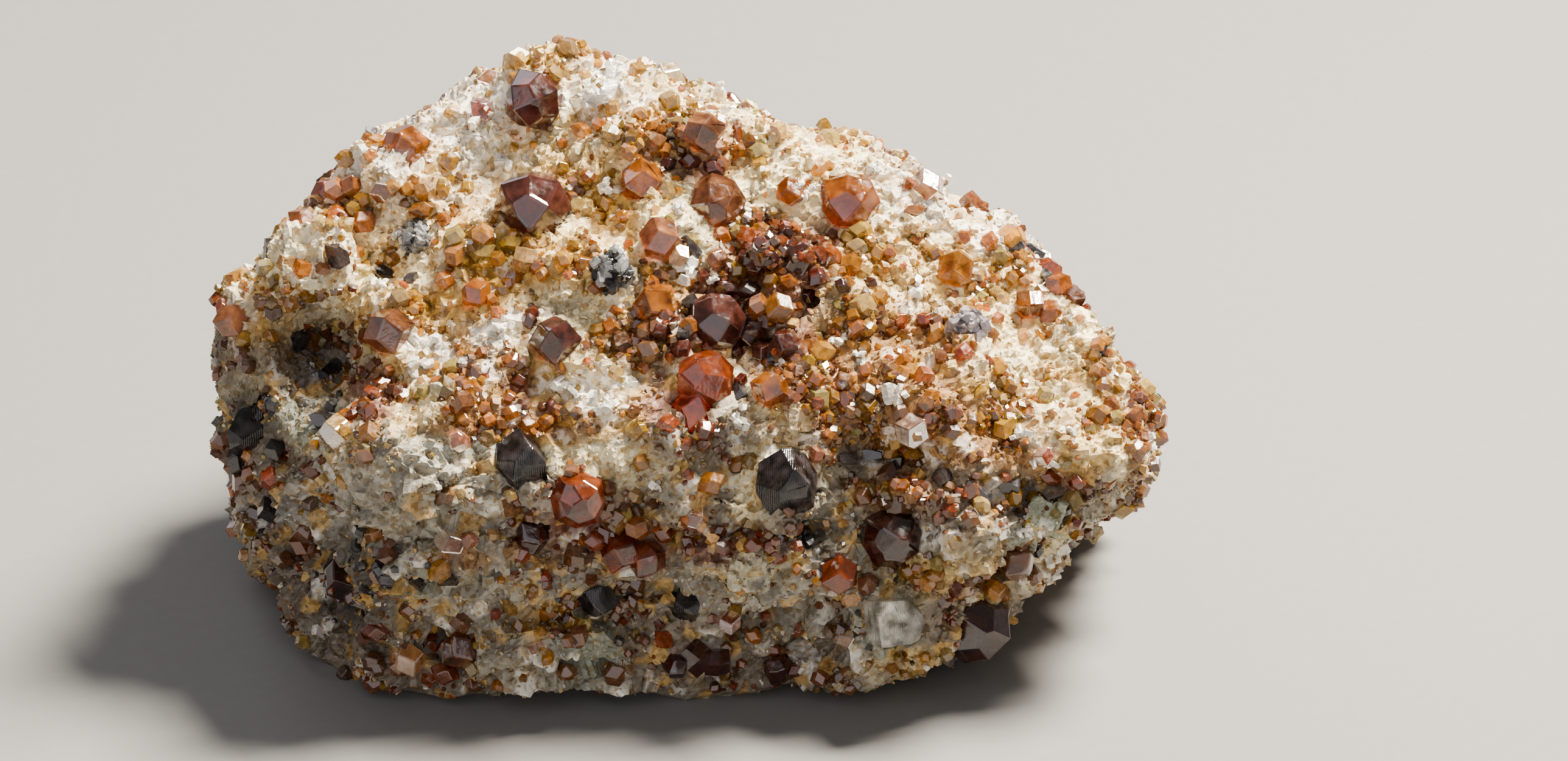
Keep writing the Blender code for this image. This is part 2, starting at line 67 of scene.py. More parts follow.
# The show plane: across, up along the lean, and straight out of it
LEAN = math.radians(25)
ACROSS = Vector((1, 0, 0))
UP = Vector((0, math.sin(LEAN), math.cos(LEAN)))
OUT = Vector((0, -math.cos(LEAN), math.sin(LEAN)))
LANDMARK = ("garnet_blood_red", (-6.9, 15.8))

# How far out of the plane rays start, and the step inwards in millimetres where one misses the rock
REACH = 80 * MM
AIM_STEP = 0.3

# The place of the show side that the camera looks at
VIEW_MIDDLE = (8.19, 24.55)

# The middle of the show side, and the height that the lights shine on
SHOW_MIDDLE = Vector((0, 25))
HALF_HEIGHT = 22 * MM

# How rock breaks: size of the pieces, tilt of their faces, and step from one piece to the next
FINEST_BREAK = (0.7 * MM, 0.34, 0.09 * MM)
BAND_BREAKS = ((4.2 * MM, 0.34, 0.3 * MM),)
FAR_BREAKS = ((6.5 * MM, 0.26, 0.4 * MM),)
BLOCK_BREAKS = ((1.9 * MM, 0.3, 0.14 * MM), (0.8 * MM, 0.22, 0.05 * MM))

# The shaded band breaks into slabs, long across and thin upwards, and the blocks into upright pieces
SLAB_SHAPE = np.array((0.55, 1, 1.7))
BLOCK_SHAPE = np.array((1.3, 1, 0.9))

# The rock draws back inside the small garnets that it carries, so that light goes into them: from how
# many of their half widths, and to what share of its distance from their middle
DRUSE_REACH = 1.35
DRUSE_ROOM = 0.6

# How far the rock reaches into a crystal's underside, so that light goes from one to the other, and
# from how many of the crystal's half widths
HOLD = 0.55 * MM
HOLD_REACH = 1.12

# Garnets by the colour that they show
GARNET_HUES = {
    "orange": [
        "garnet_rim_tall", "garnet_upper_orange", "garnet_big_orange", "garnet_small_orange",
        "garnet_right_slope", "garnet_left_orange", "garnet_back_orange", "garnet_right_end",
        "garnet_orange_yellow", "garnet_centre_left",
    ],
    "amber": ["garnet_amber_ball", "garnet_group_amber", "garnet_ringed_right"],
    "red": [
        "garnet_bright_red", "garnet_blood_red", "garnet_red_glow", "garnet_pair_red",
        "garnet_back_left",
    ],
    "deep": [
        "garnet_hexagonal_dark", "garnet_large_lower", "garnet_lower_dark", "garnet_group_left",
        "garnet_group_bottom", "garnet_bottom_right", "garnet_back_large",
    ],
    "wine": [
        "garnet_upper_large", "garnet_peak_dark", "garnet_brown_purple", "garnet_centre_facet",
    ],
    "brown": [
        "garnet_brown_violet", "garnet_left_purple", "garnet_group_brown", "garnet_left_end",
        "garnet_bottom_left", "garnet_group_rim", "garnet_back_right", "garnet_white_triangle",
        "garnet_left_red",
    ],
    "pink": ["garnet_crest_pink", "garnet_lobe_pink", "garnet_brown_red"],
}
SMOKY_QUARTZ = [
    "quartz_smoky_disc", "quartz_black_blue", "quartz_black_green", "quartz_blue_grey",
    "quartz_black_left", "quartz_back_smoky",
]

# Glittering lumps of fine quartz, the colours of their grains, and the grains in each
SILVER_QUARTZ = {
    "quartz_sparkling": ("#F2F1EE", "#B9B7B4", "#2B2A2A", "#D9D8D5", "#4A4744"),
    "quartz_silver_grey": ("#E6E4DF", "#A3A09B", "#333130", "#C9C6BF", "#5A544C"),
    "quartz_lilac": ("#E9E1E1", "#BBAEB6", "#A89AA6", "#D8CCCB", "#8A7C82"),
}
AGGREGATE_GRAINS = 110
PALE_QUARTZ = ["quartz_pale_grey"]

# Feldspar blocks with the colour of their clean cleavage, and those that few grains cover
FELDSPAR_BLOCKS = {
    "feldspar_left_block": "#DCCDB0",
    "feldspar_peak_block": "#F0EBE0",
    "feldspar_wedge": "#CDBB98",
    "feldspar_lower_slab": "#B7AD8E",
    "feldspar_green_slab": "#8F937C",
    "feldspar_back_block": "#D3C3A4",
}
SMOOTH_BLOCKS = ["feldspar_left_block", "feldspar_peak_block"]

# Colours of the rock on the show side, by hue: across, up, reach across, reach up, strength
ROCK_ZONES = {
    "white": [
        (-20, 41, 8, 5, 1.4), (-16, 46, 5, 2.5, 1.6), (-18.4, 27.2, 1.7, 1, 2.6),
        (-13, 28.2, 1.6, 1.3, 2.4), (-32.3, 29.8, 1.2, 2, 2), (-5.3, 46.5, 2.6, 3, 3),
        (-10, 33.2, 1, 0.8, 2), (20, 39, 4, 1.8, 3), (26, 35.6, 4, 2, 3), (35.2, 20, 0.8, 1, 2),
        (-5.4, 23.4, 3, 1.4, 2.6),
    ],
    "cream": [
        (-28, 34, 4, 4, 2), (-17.6, 23, 1.8, 1, 2), (-19.4, 21.2, 1.4, 0.9, 2), (-10, 42, 3.5, 2.2, 2),
        (-8.5, 31, 2, 1, 2), (28, 27, 6, 7, 1.6), (30, 31, 3, 3, 1.5), (5.3, 9.9, 2.6, 0.8, 2.4),
        (5.8, 16.8, 1, 2, 3), (28.5, 10.5, 1.8, 3, 2.2),
    ],
    "tan": [
        (-20.5, 25.6, 1.6, 1, 2), (-8, 49, 4, 1.8, 2.5), (-3.3, 27.3, 2, 1.4, 1.6), (12.5, 43.4, 2, 1, 2),
        (14.6, 28.9, 2.6, 1, 2), (25.4, 33, 3, 1, 1.4), (30.6, 20, 3, 0.8, 1.6), (17, 32, 6, 4, 1.2),
        (19.5, 10.5, 3.6, 1.6, 2.4), (22.5, 8.8, 2.4, 1, 2), (17, 3.8, 2.6, 0.9, 2),
        (32.6, 22.8, 1.8, 2.6, 2.4), (27.4, 29.8, 2.4, 1, 2), (-8.7, 24.6, 1.5, 1.5, 2.6),
    ],
    "ochre": [
        (-18, 38, 5, 2.5, 1.4), (-18.5, 29.6, 5, 1.4, 2.4), (-31, 29.5, 2.5, 2.5, 2),
        (-2, 43.4, 4.5, 1.5, 2.2), (-7.4, 39.9, 1.9, 1.4, 3.4), (-4.6, 37.4, 1.9, 1.4, 3.2),
        (-8.3, 33, 3.4, 1.7, 3.6), (-13, 32.8, 2, 2, 3), (-15.2, 34.2, 2.2, 1.2, 3.4),
        (11, 26, 1.4, 2.4, 1.5), (28.6, 25, 3.4, 1.2, 1.4), (24.5, 23.4, 2, 0.9, 1.6),
        (15, 34.2, 2, 1, 1.4), (-2.3, 21, 1, 1, 2), (-9.5, 7.5, 3, 1.4, 1.8), (28.6, 18.4, 2.6, 0.9, 2),
        (26.4, 21.2, 2.6, 0.7, 2), (31, 25.6, 2, 1.4, 1.8), (22.4, 31.6, 2, 1, 1.8),
        (-8.2, 20.4, 2.4, 0.7, 2.4),
    ],
    "orange_brown": [
        (-15.3, 26, 1.1, 2.6, 3.4), (-11.2, 25.7, 1.8, 1.1, 3.4), (-14.6, 21.6, 3.4, 0.9, 4.4),
        (-9.8, 21.4, 2.4, 0.9, 5), (-15.4, 24.4, 1.2, 1.5, 4), (0.5, 42.4, 5, 1.5, 2.4),
        (-24.6, 37.8, 2.2, 1.6, 2.6), (17, 29, 5, 2, 1.6), (17, 23.5, 7.5, 4.2, 2.8),
        (20, 22, 4, 1.6, 2.4), (14, 25, 4, 2.6, 1.6), (34.5, 20.8, 1.4, 3.4, 2.4), (-16, 11.5, 3, 0.9, 2),
        (-9.5, 21.2, 3.4, 1, 2.2), (17, 16.5, 2.2, 1.2, 2.4), (22.5, 20.4, 3, 1.6, 3),
        (25.8, 18.8, 2.8, 1.2, 2.6), (30.6, 21.6, 2.2, 1.4, 1.8), (-3.2, 26.8, 2.6, 1.1, 2),
    ],
    "rust": [
        (-11.6, 23.6, 1.8, 1.6, 3), (2, 40.6, 2.6, 1, 1.6), (8, 33.5, 4, 2.8, 2.2), (3, 31, 3, 1.4, 2.6),
        (0, 28.2, 3, 1.6, 2.4), (7.4, 28.6, 3, 3, 3.2), (12.5, 22, 2.6, 2, 2), (-22, 22.8, 1.5, 2.8, 3.6),
        (-6, 13.5, 4.5, 2, 2.4), (4, 12.3, 4.5, 1.4, 2), (28.6, 17.4, 2.4, 1.2, 2.2),
        (-1.5, 22.4, 1.1, 2.2, 3),
    ],
    # Khaki low on the show side, most of all on the left, is partly painted shade besides the rock's own
    # colour
    "khaki": [
        (-20.4, 20.2, 3.4, 1.1, 3), (-20, 17, 7, 3.4, 3.4), (-18.5, 7.5, 2.6, 1.2, 2.2),
        (-11, 9, 3.6, 1.6, 2.4), (-13.3, 3.5, 1.8, 1.4, 1.6), (6, 8, 4, 2.2, 1.8),
        (-3.8, 20.4, 2.8, 0.8, 2),
    ],
    "grey_green": [
        (-18, 25.1, 1.4, 0.9, 2.4), (-17, 19.5, 3.6, 1, 3.4), (-26.5, 21.5, 2, 2, 2.4),
        (-18.5, 10, 2.6, 1.2, 2.2), (-6, 4.4, 2.6, 1.6, 2.4), (27, 13.4, 3.2, 1.2, 2.6),
        (16, 6.4, 2.4, 2.8, 2.4),
    ],
    # Umber in the recesses and low on the show side is partly painted shade, darker where shade falls,
    # besides the rock's own dark stain
    "umber": [
        (-34, 26, 2.5, 2.5, 2.2), (-27, 26.8, 3.4, 3.2, 3), (-30, 18, 3, 2, 2), (-29, 9, 2.5, 3, 2),
        (-22, 4, 4, 2.4, 2.4), (-17, 2.5, 3, 1.8, 2.4), (0, 4.5, 3, 3, 2), (2, 21, 4, 2.4, 2),
        (14, 18.9, 4, 1.3, 2.2), (23, 16, 4, 2.4, 2.2), (22, 6, 4, 2.6, 2), (8, 3, 4, 2, 1.8),
        (3.4, 20, 3, 1.6, 1.6),
    ],
    # The dark zones are painted shade in the recesses of the show side, along with the black quartz grains
    # that lie there
    "dark": [
        (-31.5, 21, 2.6, 2.6, 3), (-24, 9.5, 4, 4, 2.6), (10, 13, 1.6, 1.4, 2.5),
    ],
    "slate": [
        (-13.5, 24.9, 0.9, 1.3, 1.2), (-26.5, 24.6, 1.6, 1.6, 2.4), (-26, 25.5, 1.2, 1.2, 2),
        (-30, 15, 2, 2.2, 1.8), (28, 15.3, 2.6, 0.9, 2.2),
    ],
}

# Height in millimetres below which the show side is shaded, and over how many it gets so
LOWER_BAND = 19
BAND_EDGE = 3

# Recesses of the show side, and mounds with a depth below zero: across, up, reach and depth in millimetres
PITS = [
    (7.8, 29.8, 3.6, -3.6), (4.2, 31.6, 2, -0.7), (-26.6, 26.4, 3.0, 1.0), (13.6, 18.9, 3.2, 0.9),
    (4.9, 23.8, 1.0, 1.0), (9.9, 13, 1.3, 1.0), (-21.4, 32.7, 1.8, 0.8), (-24, 9.8, 3.2, 1.0),
    (-2, 16, 2.6, 0.9), (-28.8, 19.4, 1.6, 0.8), (27.6, 16.2, 2.4, 0.8), (-5.5, 10.4, 2.2, 0.7),
    (-13, 13.8, 2.0, 0.7), (8.4, 5.4, 2.6, 0.8), (-20.4, 24.4, 1.6, 0.6), (23, 20.4, 2.0, 0.5),
]

# Strength of each hue in the shaded band, and in the patches away from the show side
# In the band these hues are partly the rock's own browner colour and partly painted shade
BAND_HUES = {"khaki": 1.3, "umber": 1.2, "grey_green": 0.35}
FAR_HUES = {
    "cream": 0.8, "tan": 1.0, "ochre": 1.2, "white": 0.8, "khaki": 1.4, "umber": 1.2, "rust": 1.0,
    "orange_brown": 1.3, "grey_green": 0.8, "dark": 0.5,
}

# How far the edges of the zones stray, over what length in millimetres, and how sharply they part
ZONE_STRAY = (1.1, 2.2)
ZONE_CONTRAST = 2.1

# Stray grains in any rock: share drawn from, share drawn to, hue, and how far they take it
STRAY_GRAINS = ((0.0, 0.06, "umber", 0.5), (0.06, 0.2, "ochre", 0.6), (0.9, 1.0, "white", 0.5))

# Corners of the finest grains
SUGAR_CORNERS = 7

# Half widths of scattered shapes in millimetres: the middle one, their change, the least and the most
SUGAR_RADII = (0.165, 0.32, 0.09, 0.36)
FRAGMENT_RADII = (0.28, 0.33, 0.17, 0.66)
CRUST_RADII = (0.45, 0.35, 0.22, 0.9)
DRUSE_RADII = (0.33, 0.5, 0.15, 1.15)
FAR_RADII = (0.72, 0.35, 0.45, 1.6)

# Scattered shapes keep off the foot, and out of this share of each named crystal
LOWEST_SEAT = 0.9 * MM
CRYSTAL_CLEAR = 0.88

# Garnets of a millimetre and more away from the show side
FAR_CRYSTALS = 150

# Small garnets grown over a group of larger ones: their hues and number
CRUSTS = {
    "garnet_group_brown": (("brown", "red", "orange", "deep"), 150),
    "garnet_group_rim": (("orange", "amber", "brown"), 50),
    "garnet_group_left": (("brown", "red", "deep"), 40),
}

# Grains that make up each small white patch
CLUSTER = 9

# How much larger a small crystal is than the width and height that show
SMALL_GROWTH = 1.12

# The small garnets that the matrix carries are covered by slightly larger, darker ones
CARRIED_GROWTH = 1.05
CARRIED_SHADE = 0.8

# The studio lights: way from the specimen, distance and size in metres, power in watts, and colour
LIGHTS = {
    "key_light": ((0.45, 0.2, 0.87), 0.42, 0.14, 17.0, "#FFF7E8"),
    "back_light": ((-0.5, 0.7, 0.75), 0.6, 0.3, 1.0, "#F4F6FF"),
    "front_fill": ((-0.3, -1.0, 0.45), 0.8, 1.0, 4.0, "#F6F6FF"),
}

# Small crystals of the show side, by colour: across, up, width and height in millimetres
SMALL_CRYSTALS = {
    "orange": [
        (-24.2, 39.1, 1.9, 1.9), (-25.2, 36.8, 2.1, 2), (-23.2, 36.4, 2.2, 2), (-22.7, 41.4, 1.2, 1.2),
        (-18.8, 37.3, 2.2, 1.4), (-17.2, 36.6, 1.2, 1.2), (-17, 32, 1.6, 1.6), (-21, 25.3, 1, 1),
        (3.5, 35.3, 1.6, 1.6), (3.2, 42.4, 1.2, 1.2), (17.5, 39.3, 1.1, 1.3), (15.6, 33, 1.2, 1.2),
        (21.7, 35.3, 1.4, 1.6), (23.6, 35, 1.6, 1.6), (24.1, 29.2, 1.1, 1.1), (18.5, 24.8, 2, 1.8),
        (14.2, 25.3, 1.4, 1.2), (2.8, 17, 2.2, 1.8), (14, 16, 1.6, 1.6), (-12, 23.3, 1.4, 1.2),
        (-8.5, 22.3, 1.2, 1), (-11.5, 26, 2.4, 1.2), (6, 5.5, 1.6, 1.2), (3, 28.2, 1.4, 1.2),
        (16.4, 16.9, 1.2, 1.1), (18, 16.3, 1.2, 1), (-22, 13.4, 2, 1.6), (-3.4, 41.6, 1.6, 1.4),
        (-1.6, 41.9, 1.5, 1.3), (2.9, 42, 2, 1.7), (4.7, 41.7, 1.6, 1.4), (5.9, 42.4, 1.4, 1.3),
        (-13.6, 21.6, 1.6, 1.3), (-15.4, 21.7, 1.4, 1.2), (-11.9, 22.2, 1.4, 1.2),
        (-10.7, 21.3, 1.7, 1.3), (-9.3, 21.5, 1.5, 1.2), (-8.1, 21.8, 1.3, 1.1), (-16.5, 22.3, 1.2, 1),
        (-15, 23.8, 1.3, 1.4), (-12.8, 20.7, 1.3, 1), (-5.6, 43.6, 1.4, 1.2), (-7.2, 38.7, 1.4, 1.2),
        (-6.4, 39.8, 1.3, 1.1), (7.8, 29.9, 2.7, 2.6), (-13, 29.6, 1.3, 1.1),
    ],
    "amber": [
        (-16.4, 34.2, 1.5, 1.3), (-14.8, 34.5, 1.4, 1.2), (-15.5, 33.4, 1.3, 1.1), (-17, 44.6, 0.9, 0.9),
        (-17, 41, 1.8, 1.8), (-21, 39, 1.4, 1.2), (-19.5, 39.5, 1.2, 1.1), (-17.3, 38.8, 1.4, 1.2),
        (-15.5, 39, 1.3, 1.2), (-24, 37.4, 1.4, 1.3), (-25.3, 36.8, 1.8, 1.3), (-2.8, 47.8, 1.6, 1.6),
        (-0.3, 45.5, 1.8, 1.8), (1.8, 45, 1.3, 1.2), (-7, 43.3, 1.8, 1.3), (-12, 47.2, 1.4, 1.4),
        (-30, 27.8, 1.4, 1.3), (-32, 27.6, 1.7, 1.3), (-21, 33.7, 1.3, 1.3), (4.8, 32.8, 1.4, 1.4),
        (7.2, 32, 1.6, 1.4), (7.9, 30.4, 1.6, 1.5), (19.5, 28, 1.5, 1.9), (22.8, 23.9, 1.8, 0.8),
        (27.3, 27.7, 0.8, 1.5), (24.5, 23.5, 1, 1), (28, 25.3, 1, 0.9), (-2.3, 18.5, 1.4, 1.4),
        (-2.3, 21, 1.3, 1.2), (-24.2, 20.9, 1.1, 1.1), (23.8, 9, 1.9, 1.8), (21.3, 9, 1.5, 1.5),
        (-5.6, 28.3, 1.4, 1.3), (-9.5, 7.3, 1.8, 1.3), (4.5, 7.5, 1.4, 1.2), (17.6, 10.4, 1.7, 1.3),
        (19.4, 10.2, 1.5, 1.3), (11.3, 24.3, 1.2, 1.4), (-8.2, 33.5, 1.7, 1.5), (-6.6, 33.2, 1.5, 1.4),
        (-9.7, 32.4, 1.2, 1.1), (-11.6, 32.2, 1.4, 1.2), (-13, 33.6, 1.4, 1.4), (-12.6, 31.3, 1.3, 1.2),
        (-7.4, 34.6, 1.2, 1), (-10.6, 34.6, 1.1, 1), (-5, 37.6, 1.6, 1.3), (-3.8, 36.8, 1.2, 1.1),
        (-8.3, 40.4, 1.5, 1.2), (-2.6, 44.4, 1.6, 1.3), (0.4, 44, 1.4, 1.2), (-4.6, 45, 1.4, 1.2),
    ],
    "red": [
        (-26.1, 38.7, 2.3, 2.2), (-14.3, 44.8, 1.1, 1.1), (-33.7, 29.8, 1.4, 1.9), (-22.6, 25, 1.2, 1.1),
        (-26.5, 17.9, 2, 1.8), (-30, 17.3, 2, 1.8), (4.6, 43, 1, 2.3), (5.9, 32.9, 1.6, 1.5),
        (10.8, 33.9, 1.6, 1.8), (9.9, 32.2, 1.6, 1.4), (21.5, 26.6, 1.6, 1.6), (23.2, 26, 1.9, 0.8),
        (16.8, 29, 1.5, 1.4), (18.6, 29, 1.4, 1.4), (-22.4, 22, 1.5, 2.2), (-21.6, 24.2, 1.4, 1.6),
        (-5.7, 12.7, 1.8, 1.6), (-0.6, 13.2, 1.8, 1.5), (1.2, 12.6, 1.5, 1.3), (3.8, 12.2, 1.8, 1.4),
        (5.9, 12.4, 1.6, 1.3), (7.6, 11.6, 1.7, 1.4), (28, 17.4, 2, 1.4), (29.8, 17, 1.4, 1.2),
        (29.8, 14, 1.3, 1.3), (2.4, 20.9, 1.8, 1.6), (-0.3, 21.4, 1.8, 1.6), (0.9, 19.9, 1.5, 1.2),
        (-17, 2.8, 2.2, 1.8), (-22, 6, 2.3, 1.6), (26.3, 30.4, 1.4, 1.3), (-11.3, 24.5, 1.4, 1.2),
        (-22.3, 23.6, 1.4, 1.3),
    ],
    "deep": [
        (8.2, 27.1, 2.8, 2.6), (5.6, 31.2, 2.2, 1.6), (9.9, 30.9, 1.8, 1.6), (6.1, 28.4, 2, 2),
        (3.8, 31.4, 2.2, 1.3), (-0.9, 28.2, 2, 1.6), (0.6, 26.9, 1.8, 1.5), (4.6, 26.8, 1.3, 1.2),
        (10.6, 32.2, 1.8, 1.5), (-8.6, 27, 1.9, 1.5), (-10.6, 29, 1.6, 1.4), (8.2, 33.4, 2, 1.6),
        (5.4, 33.6, 1.6, 1.4), (-2.6, 28.6, 1.6, 1.2), (-9, 22.7, 1.2, 0.9), (12.6, 31.6, 1.6, 1.2),
        (14.6, 31.8, 1.3, 1), (5, 24.6, 1.2, 1.4), (1.2, 40.9, 1.8, 1.4), (2.9, 40.4, 1.8, 1.3),
        (-0.5, 40.7, 1.5, 1.2), (5.4, 28, 2, 2.2), (6.6, 26.6, 2, 1.8),
    ],
    "brown": [
        (-29.3, 11, 1.6, 1.6), (-27, 15.4, 1.6, 1.4), (-22.7, 1.7, 1.8, 1.6), (-25, 2.2, 1.7, 1.5),
        (-14.9, 2, 1.7, 1.5), (-22.4, 3.6, 2, 1.8), (-20.4, 3.2, 1.9, 1.6), (-15, 12.8, 1.7, 1.4),
        (12.6, 24.4, 1.8, 1.7), (14.4, 23.6, 1.7, 1.6), (15.9, 25.4, 1.6, 1.5), (18.6, 22.8, 1.6, 1.4),
        (20.6, 22.2, 1.7, 1.4), (16.7, 22.3, 1.5, 1.4), (22, 21.6, 1.3, 1.2), (34.3, 19.4, 1.3, 1.8),
        (34.6, 21.8, 1.3, 1.6), (28, 22, 0.8, 1.9), (-8, 2.9, 1.8, 1.5), (-4.4, 2.7, 2.3, 1.9),
        (-10.2, 13.5, 1.8, 1.4), (18, 37.3, 2.2, 1), (-9.6, 22.6, 0.9, 0.9), (-34.3, 25, 1.6, 1.5),
        (-31.7, 25.6, 1.5, 1.4), (9.3, 6, 1.6, 1.3), (12.4, 6, 1.5, 1.4), (19.6, 14.4, 1.7, 1.3),
        (21.9, 14.3, 1.6, 1.3),
    ],
    "pink": [
        (2.3, 43.6, 1.3, 1.3), (9, 34.6, 1.2, 1.1), (3.2, 33.6, 1.8, 1.8), (8.5, 15, 1.1, 1.1),
        (8.6, 13.8, 1, 1), (7.6, 12.7, 0.9, 0.9), (9.8, 15.5, 0.9, 0.8), (11.3, 13.9, 0.9, 0.9),
        (16.9, 17.3, 1, 0.9), (17.8, 17, 1, 0.9), (34.6, 23.4, 1, 0.9), (15.7, 12.1, 0.7, 0.7),
    ],
    "white": [
        (-18.7, 42.5, 1.4, 1), (-14.5, 43, 1.6, 1), (-16, 41.5, 1.4, 0.9), (-13, 41, 1.3, 1),
        (-21.9, 43, 1.1, 1.3), (-21.9, 31.6, 1.4, 0.9), (-12.7, 28.5, 1.2, 1.2), (2.3, 46.3, 2.2, 1.2),
        (0.8, 32.8, 1.6, 1.6), (0.5, 37.3, 1.2, 1.2), (5.5, 37, 1.2, 1.3), (-5, 39, 1.4, 1.3),
        (17.8, 31.5, 1.4, 1.4), (14.8, 40.4, 1.3, 1), (13.8, 26.2, 1.2, 1), (16.4, 23.7, 1.5, 1.8),
        (29.2, 20.8, 1.8, 0.8), (27.2, 18.6, 1.8, 0.8), (25.4, 20.6, 1.2, 1.1), (35, 20, 1.1, 1.5),
        (8, 25.8, 1.2, 0.9), (4.8, 21.9, 1.1, 1.8), (-1.1, 17, 1, 1), (7, 13.3, 1, 1),
        (2.8, 32.2, 1.1, 1.1), (-8.2, 24.2, 1.8, 1.3), (-5, 22.8, 1.9, 1.5), (-3.2, 24.4, 1.5, 1.2),
        (9.7, 38.6, 1.1, 1.4), (28.4, 11.4, 1.6, 1.5), (28.7, 9.4, 1.4, 1.4), (26.4, 13.4, 2.2, 0.9),
        (-17.8, 27.4, 1.6, 1.4), (-19, 25.6, 1.5, 1.2), (12.2, 27.4, 1.2, 1.4),
    ],
    "smoky": [
        (-19.5, 32.2, 1, 1), (-21.4, 32.6, 1.8, 0.9), (1.2, 34.5, 1.2, 2.2), (-24.8, 34, 1.5, 2.4),
        (27.7, 32.3, 1.1, 1), (29.3, 31.3, 1.1, 0.9), (-30.4, 34.2, 0.8, 2.4), (-28.4, 36.8, 0.9, 1.2),
        (-23, 43.2, 1.1, 1.1), (1.3, 30.2, 1.3, 1.2), (0.8, 27.9, 1.3, 1.2), (9.8, 13.4, 1, 0.9),
        (10, 12.6, 0.9, 0.8), (4.9, 23.8, 1, 1.6), (-0.3, 43, 1, 1), (19.7, 17.5, 1.6, 1.4),
        (16.6, 18.6, 1.2, 1), (12.8, 18.8, 1.8, 1.1), (14.9, 19.2, 1.7, 1.1), (-25.5, 25.6, 1.6, 1.3),
        (-28.2, 27.6, 1.6, 1.5), (-30.4, 15, 1.5, 1.9), (-29.6, 19.6, 1.7, 1.5), (-25.9, 21.6, 1.6, 1.9),
        (7.6, 26.4, 1.5, 1.2), (5.6, 28.2, 1.2, 1.1), (22.6, 16.4, 2, 1.3), (24.9, 17, 1.8, 1.3),
        (-16.6, 9.9, 2, 1.2), (-19.2, 9.8, 1.9, 1.1), (31.9, 27, 0.7, 1.3),
    ],
}

# How thickly the druse grows on each hue of rock, and the garnets that it has there
DRUSE_ON = {
    "white": (0.06, ("honey", "amber")),
    "cream": (0.5, ("honey", "amber", "honey", "honey", "orange")),
    "tan": (1.2, ("honey", "amber", "amber", "honey", "orange")),
    "ochre": (2.4, ("amber", "honey", "orange", "amber")),
    "orange_brown": (3.4, ("orange", "brown", "amber")),
    "rust": (2.0, ("red", "brown", "orange")),
    "khaki": (0.4, ("brown", "honey", "brown", "amber")),
    "grey_green": (0.2, ("amber", "smoky")),
    "umber": (0.7, ("brown", "red", "brown")),
    "dark": (0.5, ("brown", "smoky", "smoky")),
    "slate": (0.2, ("smoky", "brown")),
}
ROCK_HUES = tuple(DRUSE_ON)


def linear(code):
    """The linear colour of an sRGB hex value."""
    channels = [int(code[k : k + 2], 16) / 255 for k in (1, 3, 5)]
    return tuple(c / 12.92 if c <= 0.04045 else ((c + 0.055) / 1.055) ** 2.4 for c in channels)


def hue(name, description, code):
    """A colour that the user can change."""
    return bpy.props.FloatVectorProperty(
        name=name, description=description, size=3, subtype="COLOR", min=0, max=1, default=linear(code)
    )


def length(name, description, size):
    """A length in millimetres that the user can change."""
    return bpy.props.FloatProperty(name=name, description=description, default=size * MM, unit="LENGTH")


class RockColours(bpy.types.PropertyGroup):
    white: hue("White", "Clean feldspar", "#F4EDDF")
    cream: hue("Cream", "Feldspar with a little clay in it", "#EDDDB0")
    tan: hue("Tan", "Weathered feldspar", "#CFAE68")
    ochre: hue("Ochre", "Feldspar stained by iron", "#BE9336")
    orange_brown: hue("Orange brown", "Rock full of tiny orange garnets", "#906226")
    rust: hue("Rust", "Rock round the red garnets", "#74432C")
    khaki: hue("Khaki", "Shaded feldspar with mica", "#938C7C")
    grey_green: hue("Grey green", "Feldspar with chlorite", "#8C9082")
    # Umber also paints shade in the recesses and the shaded band
    umber: hue("Umber", "Dark stained rock", "#685A4B")
    # Dark paints the shade of the show side's recesses as well as black quartz grains
    dark: hue("Dark", "Recesses and black quartz grains", "#2A2422")
    slate: hue("Slate", "Blue grey quartz grains", "#566070")


class GarnetColours(bpy.types.PropertyGroup):
    orange: hue("Orange", "Body colour of orange garnet", "#AA600A")
    amber: hue("Amber", "Body colour of amber garnet", "#BA7F14")
    red: hue("Red", "Body colour of red garnet", "#94400F")
    deep: hue("Deep red", "Body colour of the darkest garnets", "#54200F")
    wine: hue("Wine", "Body colour of wine brown garnet", "#66352A")
    brown: hue("Brown", "Body colour of brown garnet", "#84502A")
    pink: hue("Pink", "Body colour of pinkish garnet", "#A86A3E")
    honey: hue("Honey", "Body colour of the palest tiny garnets", "#C9A257")
    smoky: hue("Smoky", "Body colour of smoky quartz", "#3C3434")
    white: hue("White", "Body colour of clean feldspar crystals", "#EDE6D8")


class SpecimenSizes(bpy.types.PropertyGroup):
    skin_voxel: length("Skin voxel", "Fineness of the rock's surface", 0.42)
    coarse_grain: length("Coarse grain", "Size of the rock's broken lumps", 3.2)
    fine_grain: length("Fine grain", "Size of the rock's single grains", 1.3)
    bevel: length("Edge wear", "Width of the worn edges of the crystals", 0.07)
    sugar: bpy.props.IntProperty(name="Sugar", description="Finest feldspar grains", default=29500)
    fragments: bpy.props.IntProperty(name="Fragments", description="Cleaved feldspar grains", default=2400)
    druse: bpy.props.IntProperty(name="Druse", description="Tiny garnets all over the rock", default=9600)


class StageLook(bpy.types.PropertyGroup):
    floor: hue("Floor", "Pale paper under the specimen", "#787673")
    floor_radius: length("Floor radius", "Reach of the round paper", 450)
    distance: length("Camera distance", "From the lens to the middle of the view", 600)
    view_width: length("View width", "Width of the view at the show side's crystals", 116.56)
    show_depth: length("Show side depth", "How far out of the show plane its crystals stand", 22)


